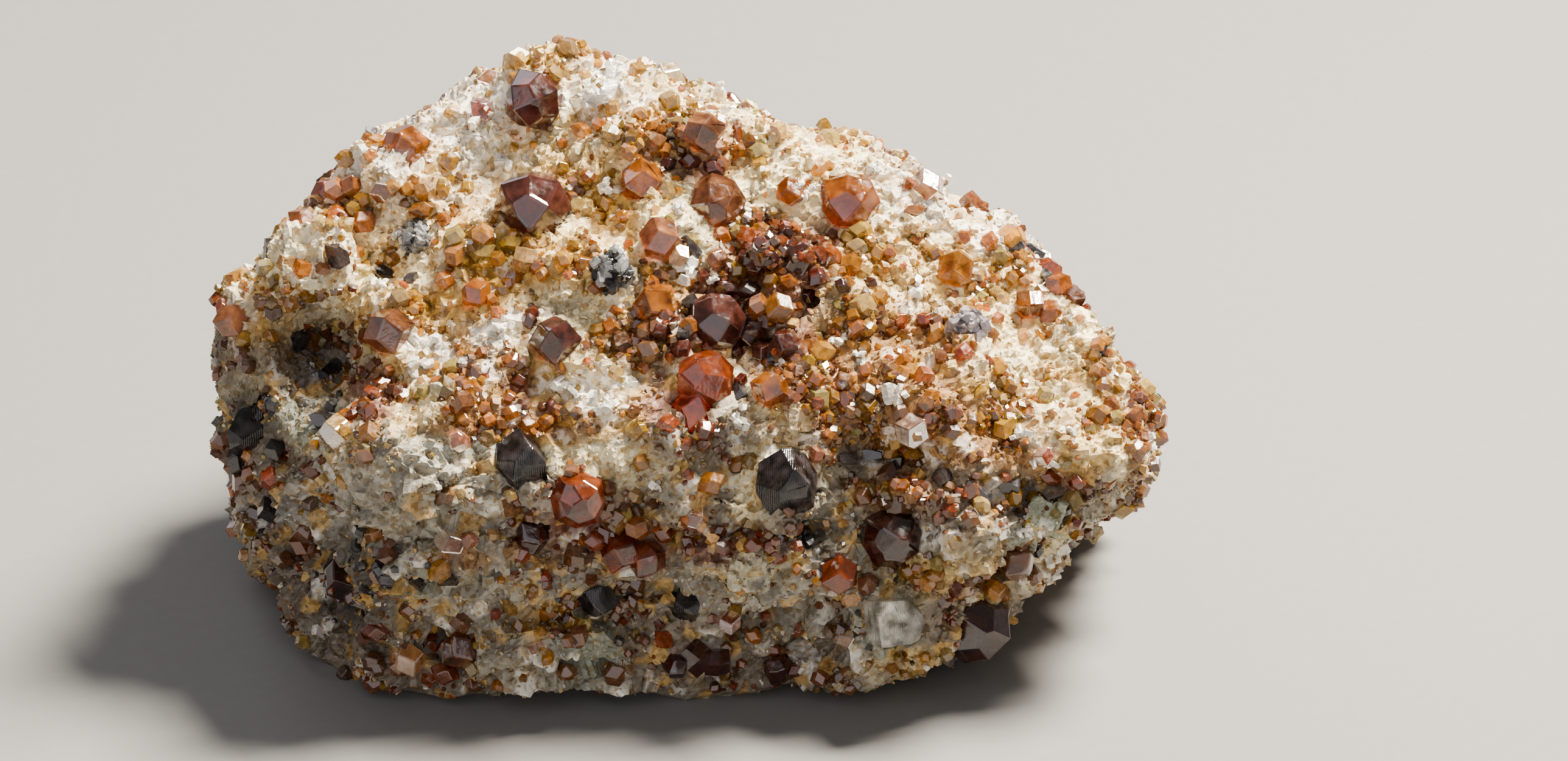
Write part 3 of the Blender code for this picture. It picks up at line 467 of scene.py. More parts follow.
def show_shift():
    """How far the show plane's (0, 0) lies from the frame's origin, across and up."""
    low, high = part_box(LANDMARK[0])
    centre = (low + high) / 2
    across, up = LANDMARK[1]
    return centre.dot(ACROSS) - across * MM, centre.dot(UP) - up * MM


SHIFT = show_shift()


def in_show_plane(across, up, out):
    """The point at this place of the show plane, this far out of it."""
    return ACROSS * (across * MM + SHIFT[0]) + UP * (up * MM + SHIFT[1]) + OUT * out


def crystal_balls(kinds=("garnet", "quartz", "feldspar")):
    """Centre and radius of every named crystal of these kinds."""
    balls = []
    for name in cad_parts:
        if name.startswith(kinds):
            low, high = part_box(name)
            balls.append(((low + high) / 2, max(high - low) / 2))
    return balls


def linked(name, data):
    """A new object in the scene."""
    made = bpy.data.objects.new(name, data)
    bpy.context.scene.collection.objects.link(made)
    return made


def node(tree, kind, settings, inputs):
    """Adds one node, sets its properties, and fills or links its sockets by name or number."""
    made = tree.nodes.new(kind)
    for name, value in settings.items():
        setattr(made, name, value)
    for name, value in inputs.items():
        if isinstance(value, bpy.types.NodeSocket):
            tree.links.new(value, made.inputs[name])
        else:
            made.inputs[name].default_value = value
    return made


def new_material(name):
    """A new material, with its node tree and its main shader."""
    made = bpy.data.materials.new(name)
    made.use_nodes = True
    return made, made.node_tree, made.node_tree.nodes["Principled BSDF"]


def per_mm(size):
    """The texture scale whose features are this many millimetres across."""
    return 1 / (size * MM)


def feldspar(name, roughness, stained):
    """Granular feldspar: sugary, with cleavage glints and pepper of iron and mica.

    Colour comes from the tint that each piece carries, so that grains side by side differ.
    """
    made, tree, shader = new_material(name)
    place = node(tree, "ShaderNodeTexCoord", {}, {}).outputs["Object"]
    tint = node(tree, "ShaderNodeAttribute", {"attribute_name": "tint"}, {}).outputs["Color"]
    sugar = node(tree, "ShaderNodeTexNoise", {}, {"Vector": place, "Scale": per_mm(0.5), "Detail": 4})
    shade = node(
        tree, "ShaderNodeMapRange", {}, {"Value": sugar.outputs["Fac"], 1: 0.3, 2: 0.7, 3: 0.82, 4: 1.1}
    )
    pepper = node(tree, "ShaderNodeTexVoronoi", {}, {"Vector": place, "Scale": per_mm(0.36)})
    split = node(tree, "ShaderNodeSeparateColor", {}, {"Color": pepper.outputs["Color"]})
    speck = node(tree, "ShaderNodeMapRange", {}, {"Value": split.outputs["Blue"], 3: 0.7, 4: 1.14})
    dapple = node(
        tree,
        "ShaderNodeMath",
        {"operation": "MULTIPLY"},
        {0: shade.outputs["Result"], 1: speck.outputs["Result"]},
    )
    lit = node(
        tree,
        "ShaderNodeVectorMath",
        {"operation": "SCALE"},
        {0: tint, "Scale": dapple.outputs["Value"]},
    )
    chosen = node(
        tree,
        "ShaderNodeMapRange",
        {},
        {"Value": split.outputs["Red"], 1: 1 - stained, 2: 1.02 - stained, 3: 0, 4: 0.75},
    )
    coloured = node(
        tree,
        "ShaderNodeMix",
        {"data_type": "RGBA", "blend_type": "MULTIPLY"},
        {0: chosen.outputs["Result"], 6: lit.outputs["Vector"], 7: (*linear("#D0B47C"), 1)},
    )
    tree.links.new(coloured.outputs[2], shader.inputs["Base Color"])
    gloss = node(
        tree,
        "ShaderNodeMapRange",
        {},
        {"Value": split.outputs["Green"], 3: roughness - 0.22, 4: roughness + 0.2},
    )
    tree.links.new(gloss.outputs["Result"], shader.inputs["Roughness"])
    shader.inputs["IOR"].default_value = 1.53
    grit = node(tree, "ShaderNodeTexNoise", {}, {"Vector": place, "Scale": per_mm(0.28), "Detail": 5})
    bump = node(
        tree, "ShaderNodeBump", {}, {"Height": grit.outputs["Fac"], "Strength": 0.7, "Distance": 0.12 * MM}
    )
    tree.links.new(bump.outputs["Normal"], shader.inputs["Normal"])
    return made


def garnet(name, body, absorbed, density):
    """Natural garnet: glassy growth faces with a slight waviness, clear inside with cloudy veils.

    Light that goes through loses its blue and green, so thin edges glow and thick middles are dark. A low
    specular level weakens the pale floor in its faces, and leaves them the glint of the lamp.
    """
    made, tree, shader = new_material(name)
    place = node(tree, "ShaderNodeTexCoord", {}, {}).outputs["Object"]
    cloud = node(tree, "ShaderNodeTexNoise", {}, {"Vector": place, "Scale": per_mm(1.4), "Detail": 3})
    veils = node(
        tree, "ShaderNodeMapRange", {}, {"Value": cloud.outputs["Fac"], 1: 0.35, 2: 0.68, 3: 0.0, 4: 1.0}
    )
    dusty = tuple(min(1.0, 1.35 * c + 0.01) for c in body)
    coloured = node(
        tree,
        "ShaderNodeMix",
        {"data_type": "RGBA"},
        {0: veils.outputs["Result"], 6: (*body, 1), 7: (*dusty, 1)},
    )
    tree.links.new(coloured.outputs[2], shader.inputs["Base Color"])
    clear = node(
        tree, "ShaderNodeMapRange", {}, {"Value": cloud.outputs["Fac"], 1: 0.35, 2: 0.7, 3: 0.95, 4: 0.7}
    )
    tree.links.new(clear.outputs["Result"], shader.inputs["Transmission Weight"])
    wave = node(tree, "ShaderNodeTexNoise", {}, {"Vector": place, "Scale": per_mm(0.6), "Detail": 2})
    gloss = node(
        tree, "ShaderNodeMapRange", {}, {"Value": wave.outputs["Fac"], 1: 0.3, 2: 0.7, 3: 0.04, 4: 0.2}
    )
    tree.links.new(gloss.outputs["Result"], shader.inputs["Roughness"])
    shader.inputs["IOR"].default_value = 1.80
    shader.inputs["Specular IOR Level"].default_value = 0.12
    bump = node(
        tree, "ShaderNodeBump", {}, {"Height": wave.outputs["Fac"], "Strength": 0.35, "Distance": 0.06 * MM}
    )
    tree.links.new(bump.outputs["Normal"], shader.inputs["Normal"])
    inside = node(tree, "ShaderNodeVolumeAbsorption", {}, {"Color": (*absorbed, 1), "Density": density})
    tree.links.new(inside.outputs["Volume"], tree.nodes["Material Output"].inputs["Volume"])
    return made


def small_garnet(name):
    """Garnets under two millimetres: too small to see into, so tinted by each crystal's own colour."""
    made, tree, shader = new_material(name)
    place = node(tree, "ShaderNodeTexCoord", {}, {}).outputs["Object"]
    tint = node(tree, "ShaderNodeAttribute", {"attribute_name": "tint"}, {}).outputs["Color"]
    wave = node(tree, "ShaderNodeTexNoise", {}, {"Vector": place, "Scale": per_mm(0.45), "Detail": 2})
    shade = node(
        tree, "ShaderNodeMapRange", {}, {"Value": wave.outputs["Fac"], 1: 0.3, 2: 0.7, 3: 0.7, 4: 1.25}
    )
    lit = node(
        tree, "ShaderNodeVectorMath", {"operation": "SCALE"}, {0: tint, "Scale": shade.outputs["Result"]}
    )
    tree.links.new(lit.outputs["Vector"], shader.inputs["Base Color"])
    gloss = node(
        tree, "ShaderNodeMapRange", {}, {"Value": wave.outputs["Fac"], 1: 0.3, 2: 0.7, 3: 0.1, 4: 0.36}
    )
    tree.links.new(gloss.outputs["Result"], shader.inputs["Roughness"])
    shader.inputs["IOR"].default_value = 1.78
    shader.inputs["Specular IOR Level"].default_value = 0.26
    shader.inputs["Transmission Weight"].default_value = 0.72
    bump = node(
        tree, "ShaderNodeBump", {}, {"Height": wave.outputs["Fac"], "Strength": 0.3, "Distance": 0.05 * MM}
    )
    tree.links.new(bump.outputs["Normal"], shader.inputs["Normal"])
    return made


def quartz(name, body, absorbed, density):
    """Quartz with natural prism faces: clear, smoky by radiation, glassy with fine growth lines."""
    made, tree, shader = new_material(name)
    place = node(tree, "ShaderNodeTexCoord", {}, {}).outputs["Object"]
    lines = node(
        tree,
        "ShaderNodeTexWave",
        {},
        {"Vector": place, "Scale": per_mm(0.5), "Distortion": 3, "Detail": 2},
    )
    cloud = node(tree, "ShaderNodeTexNoise", {}, {"Vector": place, "Scale": per_mm(1.1), "Detail": 3})
    mist = node(
        tree, "ShaderNodeMapRange", {}, {"Value": cloud.outputs["Fac"], 1: 0.4, 2: 0.75, 3: 0.94, 4: 0.55}
    )
    shaded = node(
        tree,
        "ShaderNodeMix",
        {"data_type": "RGBA"},
        {0: cloud.outputs["Fac"], 6: (*body, 1), 7: (*(min(1.0, 1.6 * c + 0.02) for c in body), 1)},
    )
    tree.links.new(shaded.outputs[2], shader.inputs["Base Color"])
    tree.links.new(mist.outputs["Result"], shader.inputs["Transmission Weight"])
    gloss = node(
        tree, "ShaderNodeMapRange", {}, {"Value": cloud.outputs["Fac"], 1: 0.3, 2: 0.7, 3: 0.05, 4: 0.22}
    )
    tree.links.new(gloss.outputs["Result"], shader.inputs["Roughness"])
    shader.inputs["IOR"].default_value = 1.544
    bump = node(
        tree,
        "ShaderNodeBump",
        {},
        {"Height": lines.outputs["Fac"], "Strength": 0.25, "Distance": 0.05 * MM},
    )
    tree.links.new(bump.outputs["Normal"], shader.inputs["Normal"])
    inside = node(tree, "ShaderNodeVolumeAbsorption", {}, {"Color": (*absorbed, 1), "Density": density})
    tree.links.new(inside.outputs["Volume"], tree.nodes["Material Output"].inputs["Volume"])
    return made


def paper(name, colour):
    """Matt backdrop paper, with the faint tooth of its fibres."""
    made, tree, shader = new_material(name)
    place = node(tree, "ShaderNodeTexCoord", {}, {}).outputs["Object"]
    tooth = node(tree, "ShaderNodeTexNoise", {}, {"Vector": place, "Scale": per_mm(1.2), "Detail": 4})
    shade = node(
        tree, "ShaderNodeMapRange", {}, {"Value": tooth.outputs["Fac"], 1: 0.3, 2: 0.7, 3: 0.97, 4: 1.02}
    )
    lit = node(
        tree,
        "ShaderNodeVectorMath",
        {"operation": "SCALE"},
        {0: (*colour,), "Scale": shade.outputs["Result"]},
    )
    tree.links.new(lit.outputs["Vector"], shader.inputs["Base Color"])
    shader.inputs["Roughness"].default_value = 0.85
    return made


def merged_copy(name, whole_faces=True):
    """A CAD node's shape as a bmesh, with its corners merged, and its flat faces made whole."""
    bm = bmesh.new()
    bm.from_mesh(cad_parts[name].data)
    bmesh.ops.remove_doubles(bm, verts=bm.verts, dist=0.001 * MM)
    if whole_faces:
        bmesh.ops.dissolve_limit(bm, angle_limit=math.radians(1), verts=bm.verts, edges=bm.edges)
    return bm


def as_mesh(name, bm):
    """The mesh of a bmesh that isn't needed any more."""
    mesh = bpy.data.meshes.new(name)
    bm.to_mesh(mesh)
    bm.free()
    return mesh


def finish_piece(name, mesh, look, stands_for=()):
    """Makes a finished piece from a mesh, riding on the specimen's one body."""
    mesh.materials.append(look)
    made = linked(name, mesh)
    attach(made, "root")
    if stands_for:
        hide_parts(*stands_for)


def values_of(points, scale, shift):
    """Smooth noise at many points, features scale apart."""
    offset = Vector((shift, 2 * shift, -shift))
    return np.array([noise.noise(Vector(point) / scale + offset) for point in points])


def cells_of(points, scale):
    """For each point, the middle of the cell of this size that it is in, in metres."""
    middles = np.empty((len(points), 3))
    for index, point in enumerate(points):
        middles[index] = noise.voronoi(Vector(point) / scale)[1][0]
    return middles * scale


def cell_draws(middles, salt):
    """Three random numbers for each cell, mixed from its place, so the same wherever it is met."""
    keys = np.round(middles / (0.01 * MM)).astype(np.int64)
    mixed = keys @ np.array([73856093, 19349663, 83492791]) + salt * 2654435761
    draws = np.empty((len(middles), 3))
    for k in range(3):
        mixed = (mixed * 6364136223846793005 + 1442695040888963407) & 0x7FFFFFFFFFFFFFFF
        draws[:, k] = ((mixed >> 24) & 0xFFFFFF) / 0xFFFFFF
    return draws


def show_places(points):
    """Across and up of many points, in millimetres."""
    across = (points @ np.array(ACROSS) - SHIFT[0]) / MM
    up = (points @ np.array(UP) - SHIFT[1]) / MM
    return across, up


def in_band(up):
    """How much these heights of the show side belong to its shaded band, from 0 to 1."""
    return np.clip((LOWER_BAND - up) / BAND_EDGE, 0, 1)


def rock_mix(points, facing):
    """Shares of the rock's hues at each point: zones on the show side, patches elsewhere."""
    across, up = show_places(points)
    stray, scale = ZONE_STRAY
    across = across + stray * values_of(points, scale * MM, 3)
    up = up + stray * values_of(points, scale * MM, 17)
    mix = np.zeros((len(points), len(ROCK_HUES)))
    # Low on the show side the cream gives way to khaki, umber and grey green, partly the rock's own browner
    # colour and partly painted shade where the band lies in shade
    band = in_band(up) * facing
    mix[:, ROCK_HUES.index("cream")] += 0.1 + facing * (1 - 0.7 * band)
    for name, strength in BAND_HUES.items():
        mix[:, ROCK_HUES.index(name)] += strength * band
    for name, zones in ROCK_ZONES.items():
        for here, there, wide, high, strength in zones:
            reach = np.exp(-(((across - here) / wide) ** 2) - ((up - there) / high) ** 2)
            mix[:, ROCK_HUES.index(name)] += 2 * strength * reach * facing
    for index, (name, strength) in enumerate(FAR_HUES.items()):
        patch = np.clip(3 * values_of(points, 5.5 * MM, 40 + 9 * index) - 0.1, 0, None)
        mix[:, ROCK_HUES.index(name)] += strength * patch * (1.02 - facing)
    mix = (mix / mix.sum(axis=1)[:, None]) ** ZONE_CONTRAST
    return mix / mix.sum(axis=1)[:, None]


def rock_tints(points, facing, grain):
    """The rock's colour at each point, with grain by grain change."""
    colours = bpy.context.scene.rock_colours
    tints = rock_mix(points, facing) @ np.array([getattr(colours, name) for name in ROCK_HUES])
    draws = cell_draws(grain, 1)
    tints *= (0.8 + 0.36 * draws[:, 0])[:, None]
    stray = draws[:, 1]
    for low, high, name, share in STRAY_GRAINS:
        picked = (stray >= low) & (stray < high)
        tints[picked] += share * (np.array(getattr(colours, name)) - tints[picked])
    return np.clip(tints, 0, 1)


def facing_of(normals):
    """How much a surface belongs to the show side, from 0 to 1."""
    return np.clip(normals @ np.array(OUT) * 2.2 + 0.5, 0, 1)


def set_tints(mesh, tints):
    """Gives each corner of a mesh the colour that its material reads."""
    tint = mesh.attributes.new("tint", "FLOAT_COLOR", "POINT")
    opaque = np.column_stack((tints, np.ones(len(tints))))
    tint.data.foreach_set("color", opaque.astype(np.float32).ravel())


class Rock:
    """The finished rock surface, which the crystals and crumbs are set on."""

    parts = []
    tree = None
    corners = None
    normals = None
    areas = None


def keep_rock(mesh):
    """Remembers a surface's triangles, as a part of the rock."""
    mesh.calc_loop_triangles()
    points = np.empty(len(mesh.vertices) * 3)
    mesh.vertices.foreach_get("co", points)
    triangles = np.empty(len(mesh.loop_triangles) * 3, np.int32)
    mesh.loop_triangles.foreach_get("vertices", triangles)
    Rock.parts.append(points.reshape(-1, 3)[triangles.reshape(-1, 3)])


def settle_rock():
    """Makes the kept parts ready for seating and scattering."""
    Rock.corners = np.concatenate(Rock.parts)
    sides = Rock.corners[:, 1:] - Rock.corners[:, :1]
    crosses = np.cross(sides[:, 0], sides[:, 1])
    doubles = np.linalg.norm(crosses, axis=1)
    Rock.areas = doubles / 2
    Rock.normals = crosses / np.maximum(doubles, 1e-15)[:, None]
    numbers = np.arange(3 * len(Rock.corners)).reshape(-1, 3)
    Rock.tree = BVHTree.FromPolygons(Rock.corners.reshape(-1, 3).tolist(), numbers.tolist())


def rock_under(across, up):
    """The rock's surface under a place of the show side, or under the nearest place inwards."""
    aim = Vector((across, up))
    hit = None
    while hit is None:
        hit = Rock.tree.ray_cast(in_show_plane(aim.x, aim.y, REACH), -OUT)[0]
        aim += (SHOW_MIDDLE - aim).normalized() * AIM_STEP
    return hit


@functools.cache
def carried_druse():
    """Centre, radius and turn of the small garnets that the matrix carries, found by their even faces.

    Two faces of a dodecahedron meet at 60 degrees, and its edges say where its middle is.
    """
    bm = merged_copy("matrix")
    bm.normal_update()
    way = Matrix([Vector(axis).normalized() for axis in ((1, 1, 0), (1, -1, 2), (1, -1, -1))])
    found = []
    for edge in bm.edges:
        if len(edge.link_faces) != 2 or not edge.is_convex:
            continue
        first, second = (face.normal for face in edge.link_faces)
        if abs(math.degrees(first.angle(second)) - 60) > 0.6 or not 0.7 < edge.calc_length() / MM < 1.5:
            continue
        side = edge.calc_length()
        middle = (edge.verts[0].co + edge.verts[1].co) / 2
        centre = middle - (first + second).normalized() * side * math.sqrt(8) / 3
        across = first.cross(second).normalized()
        turn = Matrix((first, across.cross(first), across)).transposed() @ way
        found.append((centre, side * 2 / math.sqrt(3), turn))
    bm.free()
    kept = []
    for centre, radius, turn in found:
        votes = sum((centre - other).length < 0.04 * MM for other, _, _ in found)
        if votes >= 2 and all((centre - other).length > 0.5 * MM for other, _, _ in kept):
            kept.append((centre, radius, turn))
    return kept


def broken_rise(points, breaks):
    """Height of broken rock over a smooth surface: tilted faces, a step between one grain and the next."""
    rise = 0.1 * MM * values_of(points, 0.8 * MM, 5)
    for scale, tilt, step in breaks:
        middles = cells_of(points, scale)
        draws = cell_draws(middles, 7)
        slopes = 2 * cell_draws(middles, 8) - 1
        rise += tilt * np.sum((points - middles) * slopes, axis=1) + step * (2 * draws[:, 0] - 1)
    return rise


def voxel_mesh(mesh, voxel):
    """A mesh built again from even voxels, with its corners and their normals as arrays."""
    rough = linked("rough", mesh)
    voxels = rough.modifiers.new("voxels", "REMESH")
    voxels.mode = "VOXEL"
    voxels.voxel_size = voxel
    graph = bpy.context.evaluated_depsgraph_get()
    mesh = bpy.data.meshes.new_from_object(rough.evaluated_get(graph))
    bpy.data.objects.remove(rough)
    mesh.materials.clear()
    mesh.polygons.foreach_set("use_smooth", [False] * len(mesh.polygons))
    points = np.empty(len(mesh.vertices) * 3)
    mesh.vertices.foreach_get("co", points)
    normals = np.array([vertex.normal for vertex in mesh.vertices])
    return mesh, points.reshape(-1, 3), normals


class GARNET_OT_matrix_skin(bpy.types.Operator):
    """Gives the matrix its broken, granular surface and its stains"""

    bl_idname = "garnet.matrix_skin"
    bl_label = "Matrix skin"

    def execute(self, context):
        sizes = context.scene.specimen_sizes
        mesh = as_mesh("matrix_skin", merged_copy("matrix", whole_faces=False))
        mesh, points, normals = voxel_mesh(mesh, sizes.skin_voxel)
        coarse = (sizes.coarse_grain, 0.22, 0.3 * MM)
        fine = (sizes.fine_grain, 0.3, 0.16 * MM)
        rise = broken_rise(points, (coarse, fine, FINEST_BREAK))

        # Near a named crystal the rock calms down, and it reaches into the crystal's underside
        for centre, radius in crystal_balls():
            towards = np.array(centre) - points
            far = np.linalg.norm(towards, axis=1)
            inside = np.clip((far / radius - 0.9) / 0.5, 0, 1)
            rise = np.where(rise > 0, rise * inside, rise * np.clip(inside + 0.4, 0, 1))
            holding = (far < HOLD_REACH * radius) & (np.sum(towards * normals, axis=1) > 0.3 * far)
            rise = np.where(holding, HOLD, rise)

        # The foot stays flat
        foot = np.clip((points[:, 2] - 0.3 * MM) / (1.4 * MM), 0, 1)
        facing = facing_of(normals)
        across, up = show_places(points)
        rise += in_band(up) * facing * broken_rise(points * SLAB_SHAPE, BAND_BREAKS)
        rise += (1 - facing) * broken_rise(points, FAR_BREAKS)
        moved = points + normals * (rise * foot)[:, None]
        for here, there, wide, deep in PITS:
            share = np.clip(1 - ((across - here) ** 2 + (up - there) ** 2) / wide**2, 0, 1)
            moved -= np.array(OUT) * (share**1.5 * deep * MM * facing * foot)[:, None]
        for centre, radius, _ in carried_druse():
            near = np.linalg.norm(moved - np.array(centre), axis=1) < DRUSE_REACH * radius
            moved[near] = np.array(centre) + DRUSE_ROOM * (moved[near] - np.array(centre))
        moved[:, 2] = np.maximum(moved[:, 2], 0)
        mesh.vertices.foreach_set("co", moved.ravel())
        set_tints(mesh, rock_tints(points, facing, cells_of(points, sizes.fine_grain)))
        mesh.update()
        keep_rock(mesh)
        look = feldspar("feldspar_granular", 0.62, 0.26)
        finish_piece("matrix_skin", mesh, look, ["matrix"])
        return {"FINISHED"}


def chip(bm, draw, cuts, least, most):
    """Cuts small odd faces on a crystal, each at a share of its reach that way."""
    for _ in range(cuts):
        way = Vector([draw.gauss(0, 1) for _ in range(3)]).normalized()
        middle = sum((vertex.co for vertex in bm.verts), Vector()) / len(bm.verts)
        reach = max(way.dot(vertex.co - middle) for vertex in bm.verts)
        cut = bmesh.ops.bisect_plane(
            bm,
            geom=bm.verts[:] + bm.edges[:] + bm.faces[:],
            plane_co=middle + way * reach * draw.uniform(least, most),
            plane_no=way,
            clear_outer=True,
        )
        rim = [edge for edge in cut["geom_cut"] if isinstance(edge, bmesh.types.BMEdge)]
        if rim:
            bmesh.ops.edgeloop_fill(bm, edges=rim)


def grow_faces(bm, width, draw):
    """Gives a crystal odd faces, worn edges, and a growth step on some faces."""
    chip(bm, draw, 4, 0.86, 0.97)
    bmesh.ops.bevel(
        bm,
        geom=bm.edges[:],
        offset=width,
        offset_type="OFFSET",
        segments=1,
        profile=0.5,
        affect="EDGES",
        material=-1,
        clamp_overlap=True,
    )
    for face in [face for face in bm.faces if face.calc_area() > 1.2 * MM * MM and draw.random() < 0.4]:
        bmesh.ops.inset_individual(
            bm,
            faces=[face],
            thickness=math.sqrt(face.calc_area()) * draw.uniform(0.06, 0.2),
            depth=0.03 * MM * draw.choice((1, -1)),
        )
    bmesh.ops.recalc_face_normals(bm, faces=bm.faces)


def dress_crystals(names, look, draw):
    """Finishes named crystals of one look, each standing for its own node."""
    width = bpy.context.scene.specimen_sizes.bevel
    for name in names:
        bm = merged_copy(name)
        grow_faces(bm, width * draw.uniform(0.7, 1.3), draw)
        piece = f"{name}_faces"
        finish_piece(piece, as_mesh(piece, bm), look, [name])


class GARNET_OT_garnets(bpy.types.Operator):
    """Finishes the named garnets with growth steps, worn edges and clear colour"""

    bl_idname = "garnet.garnets"
    bl_label = "Garnets"

    absorption = {
        "orange": ("#F0902A", 260.0),
        "amber": ("#F5B652", 200.0),
        "red": ("#F2621E", 230.0),
        "deep": ("#B8441F", 480.0),
        "wine": ("#C8624A", 280.0),
        "brown": ("#D67C40", 230.0),
        "pink": ("#E79C6C", 260.0),
    }

    def execute(self, context):
        colours = context.scene.garnet_colours
        draw = random.Random(SEED)
        for name, members in GARNET_HUES.items():
            absorbed, density = self.absorption[name]
            look = garnet(f"garnet_{name}", getattr(colours, name), linear(absorbed), density)
            dress_crystals(members, look, draw)
        return {"FINISHED"}


class GARNET_OT_quartz(bpy.types.Operator):
    """Finishes the smoky and the pale quartz crystals"""

    bl_idname = "garnet.quartz"
    bl_label = "Quartz"

    def execute(self, context):
        colours = context.scene.garnet_colours
        draw = random.Random(SEED + 1)
        smoky = quartz("quartz_smoky", colours.smoky, linear("#6E675F"), 1300.0)
        dress_crystals(SMOKY_QUARTZ, smoky, draw)
        silver = small_garnet("quartz_silvery")
        for name, codes in SILVER_QUARTZ.items():
            granular_quartz(name, codes, silver, np.random.default_rng(SEED + len(name)))
        pale = quartz("quartz_milky", linear("#C4BFB4"), linear("#D6D0C4"), 60.0)
        dress_crystals(PALE_QUARTZ, pale, draw)
        return {"FINISHED"}


class GARNET_OT_feldspar(bpy.types.Operator):
    """Finishes the feldspar blocks with cleavage steps"""

    bl_idname = "garnet.feldspar"
    bl_label = "Feldspar blocks"

    voxel = 0.16 * MM
    worn_off = 0.1 * MM
    grain = 0.9 * MM

    def execute(self, context):
        look = feldspar("feldspar_cleaved", 0.42, 0.16)
        for name, code in FELDSPAR_BLOCKS.items():
            mesh = as_mesh(name, merged_copy(name))
            mesh, points, normals = voxel_mesh(mesh, self.voxel)
            rise = broken_rise(points * BLOCK_SHAPE, BLOCK_BREAKS)
            moved = points + normals * (rise - self.worn_off)[:, None]
            moved[:, 2] = np.maximum(moved[:, 2], 0)
            mesh.vertices.foreach_set("co", moved.ravel())
            grain = cells_of(points, self.grain)
            shade = 0.86 + 0.28 * cell_draws(grain, 3)[:, :1]
            clean = np.clip(0.62 + 1.5 * values_of(points, 1.7 * MM, 71), 0, 1)[:, None]
            # Round its clean faces a block takes the rock's colours, which low on the show side and in its
            # recesses include painted shade
            stained = rock_tints(points, facing_of(normals), grain)
            tints = np.array(linear(code)) * shade * clean + stained * (1 - clean)
            set_tints(mesh, np.clip(tints, 0, 1))
            mesh.update()
            keep_rock(mesh)
            finish_piece(f"{name}_broken", mesh, look, [name])
        settle_rock()
        return {"FINISHED"}


def as_template(bm):
    """A small shape as arrays: corners, and triangles that point outwards."""
    bmesh.ops.recalc_face_normals(bm, faces=bm.faces)
    bmesh.ops.triangulate(bm, faces=bm.faces)
    bm.verts.index_update()
    corners = np.array([vertex.co for vertex in bm.verts])
    triangles = np.array([[vertex.index for vertex in face.verts] for face in bm.faces])
    bm.free()
    return corners, triangles


def garnet_template(seed, cuts, worn):
    """A garnet of half width one: twelve faces, a few odd ones, its edges worn by this much."""
    draw = random.Random(seed)
    bm = bmesh.new()
    for a in (1, -1):
        for corner in ((a, 0, 0), (0, a, 0), (0, 0, a)):
            bm.verts.new(corner)
        for b in (1, -1):
            for c in (1, -1):
                bm.verts.new((a / 2, b / 2, c / 2))
    bmesh.ops.convex_hull(bm, input=bm.verts)
    bmesh.ops.dissolve_limit(bm, angle_limit=math.radians(1), verts=bm.verts, edges=bm.edges)
    chip(bm, draw, cuts, 0.72, 0.92)
    if worn:
        bmesh.ops.bevel(
            bm, geom=bm.edges[:], offset=worn, segments=1, profile=0.5, affect="EDGES", material=-1
        )
    return as_template(bm)


def cleaved_template(seed):
    """A broken feldspar grain: a block cut along a few flat faces."""
    draw = random.Random(seed)
    bm = bmesh.new()
    bmesh.ops.create_cube(bm, size=1.5)
    for vertex in bm.verts:
        vertex.co.x += 0.15 * vertex.co.y
    chip(bm, draw, 4, 0.5, 0.75)
    return as_template(bm)


def turns_from(quaternions):
    """Rotation matrices of an array of quaternions."""
    w, x, y, z = (quaternions / np.linalg.norm(quaternions, axis=1)[:, None]).T
    rows = [
        [1 - 2 * (y * y + z * z), 2 * (x * y - z * w), 2 * (x * z + y * w)],
        [2 * (x * y + z * w), 1 - 2 * (x * x + z * z), 2 * (y * z - x * w)],
        [2 * (x * z - y * w), 2 * (y * z + x * w), 1 - 2 * (x * x + y * y)],
    ]
    return np.moveaxis(np.array(rows), 2, 0)


def any_turns(draw, count):
    """Turns drawn evenly over all there are."""
    return turns_from(draw.normal(size=(count, 4)))


def drawn_radii(draw, count, radii):
    """Half widths in metres, from the middle one, their change, the least and the most in millimetres."""
    middle, change, least, most = radii
    return np.clip(draw.lognormal(math.log(middle), change, count), least, most) * MM


def uneven(draw, radii):
    """Half widths of crystals along their three axes, each a little off the mean."""
    return radii[:, None] * draw.uniform(0.85, 1.15, (len(radii), 3))


def join_copies(name, templates, kinds, places, turns, sizes, tints):
    """One mesh of many small shapes, each with its own template, place, turn, size and tint."""
    points, triangles, colours = [], [], []
    start = 0
    for kind, (corners, faces) in enumerate(templates):
        mine = np.flatnonzero(kinds == kind)
        if not len(mine):
            continue
        grown = corners[None] * sizes[mine][:, None, :]
        put = np.einsum("nij,nvj->nvi", turns[mine], grown) + places[mine][:, None, :]
        steps = start + len(corners) * np.arange(len(mine))
        points.append(put.reshape(-1, 3))
        triangles.append((faces[None] + steps[:, None, None]).reshape(-1, 3))
        colours.append(np.repeat(tints[mine], len(corners), axis=0))
        start += len(mine) * len(corners)
    points = np.concatenate(points)
    points[:, 2] = np.maximum(points[:, 2], 0)
    triangles = np.concatenate(triangles)
    mesh = bpy.data.meshes.new(name)
    mesh.vertices.add(len(points))
    mesh.loops.add(triangles.size)
    mesh.polygons.add(len(triangles))
    mesh.vertices.foreach_set("co", points.astype(np.float32).ravel())
    mesh.loops.foreach_set("vertex_index", triangles.astype(np.int32).ravel())
    mesh.polygons.foreach_set("loop_start", np.arange(0, triangles.size, 3, dtype=np.int32))
    mesh.update(calc_edges=True)
    mesh.shade_flat()
    set_tints(mesh, np.concatenate(colours))
    return mesh


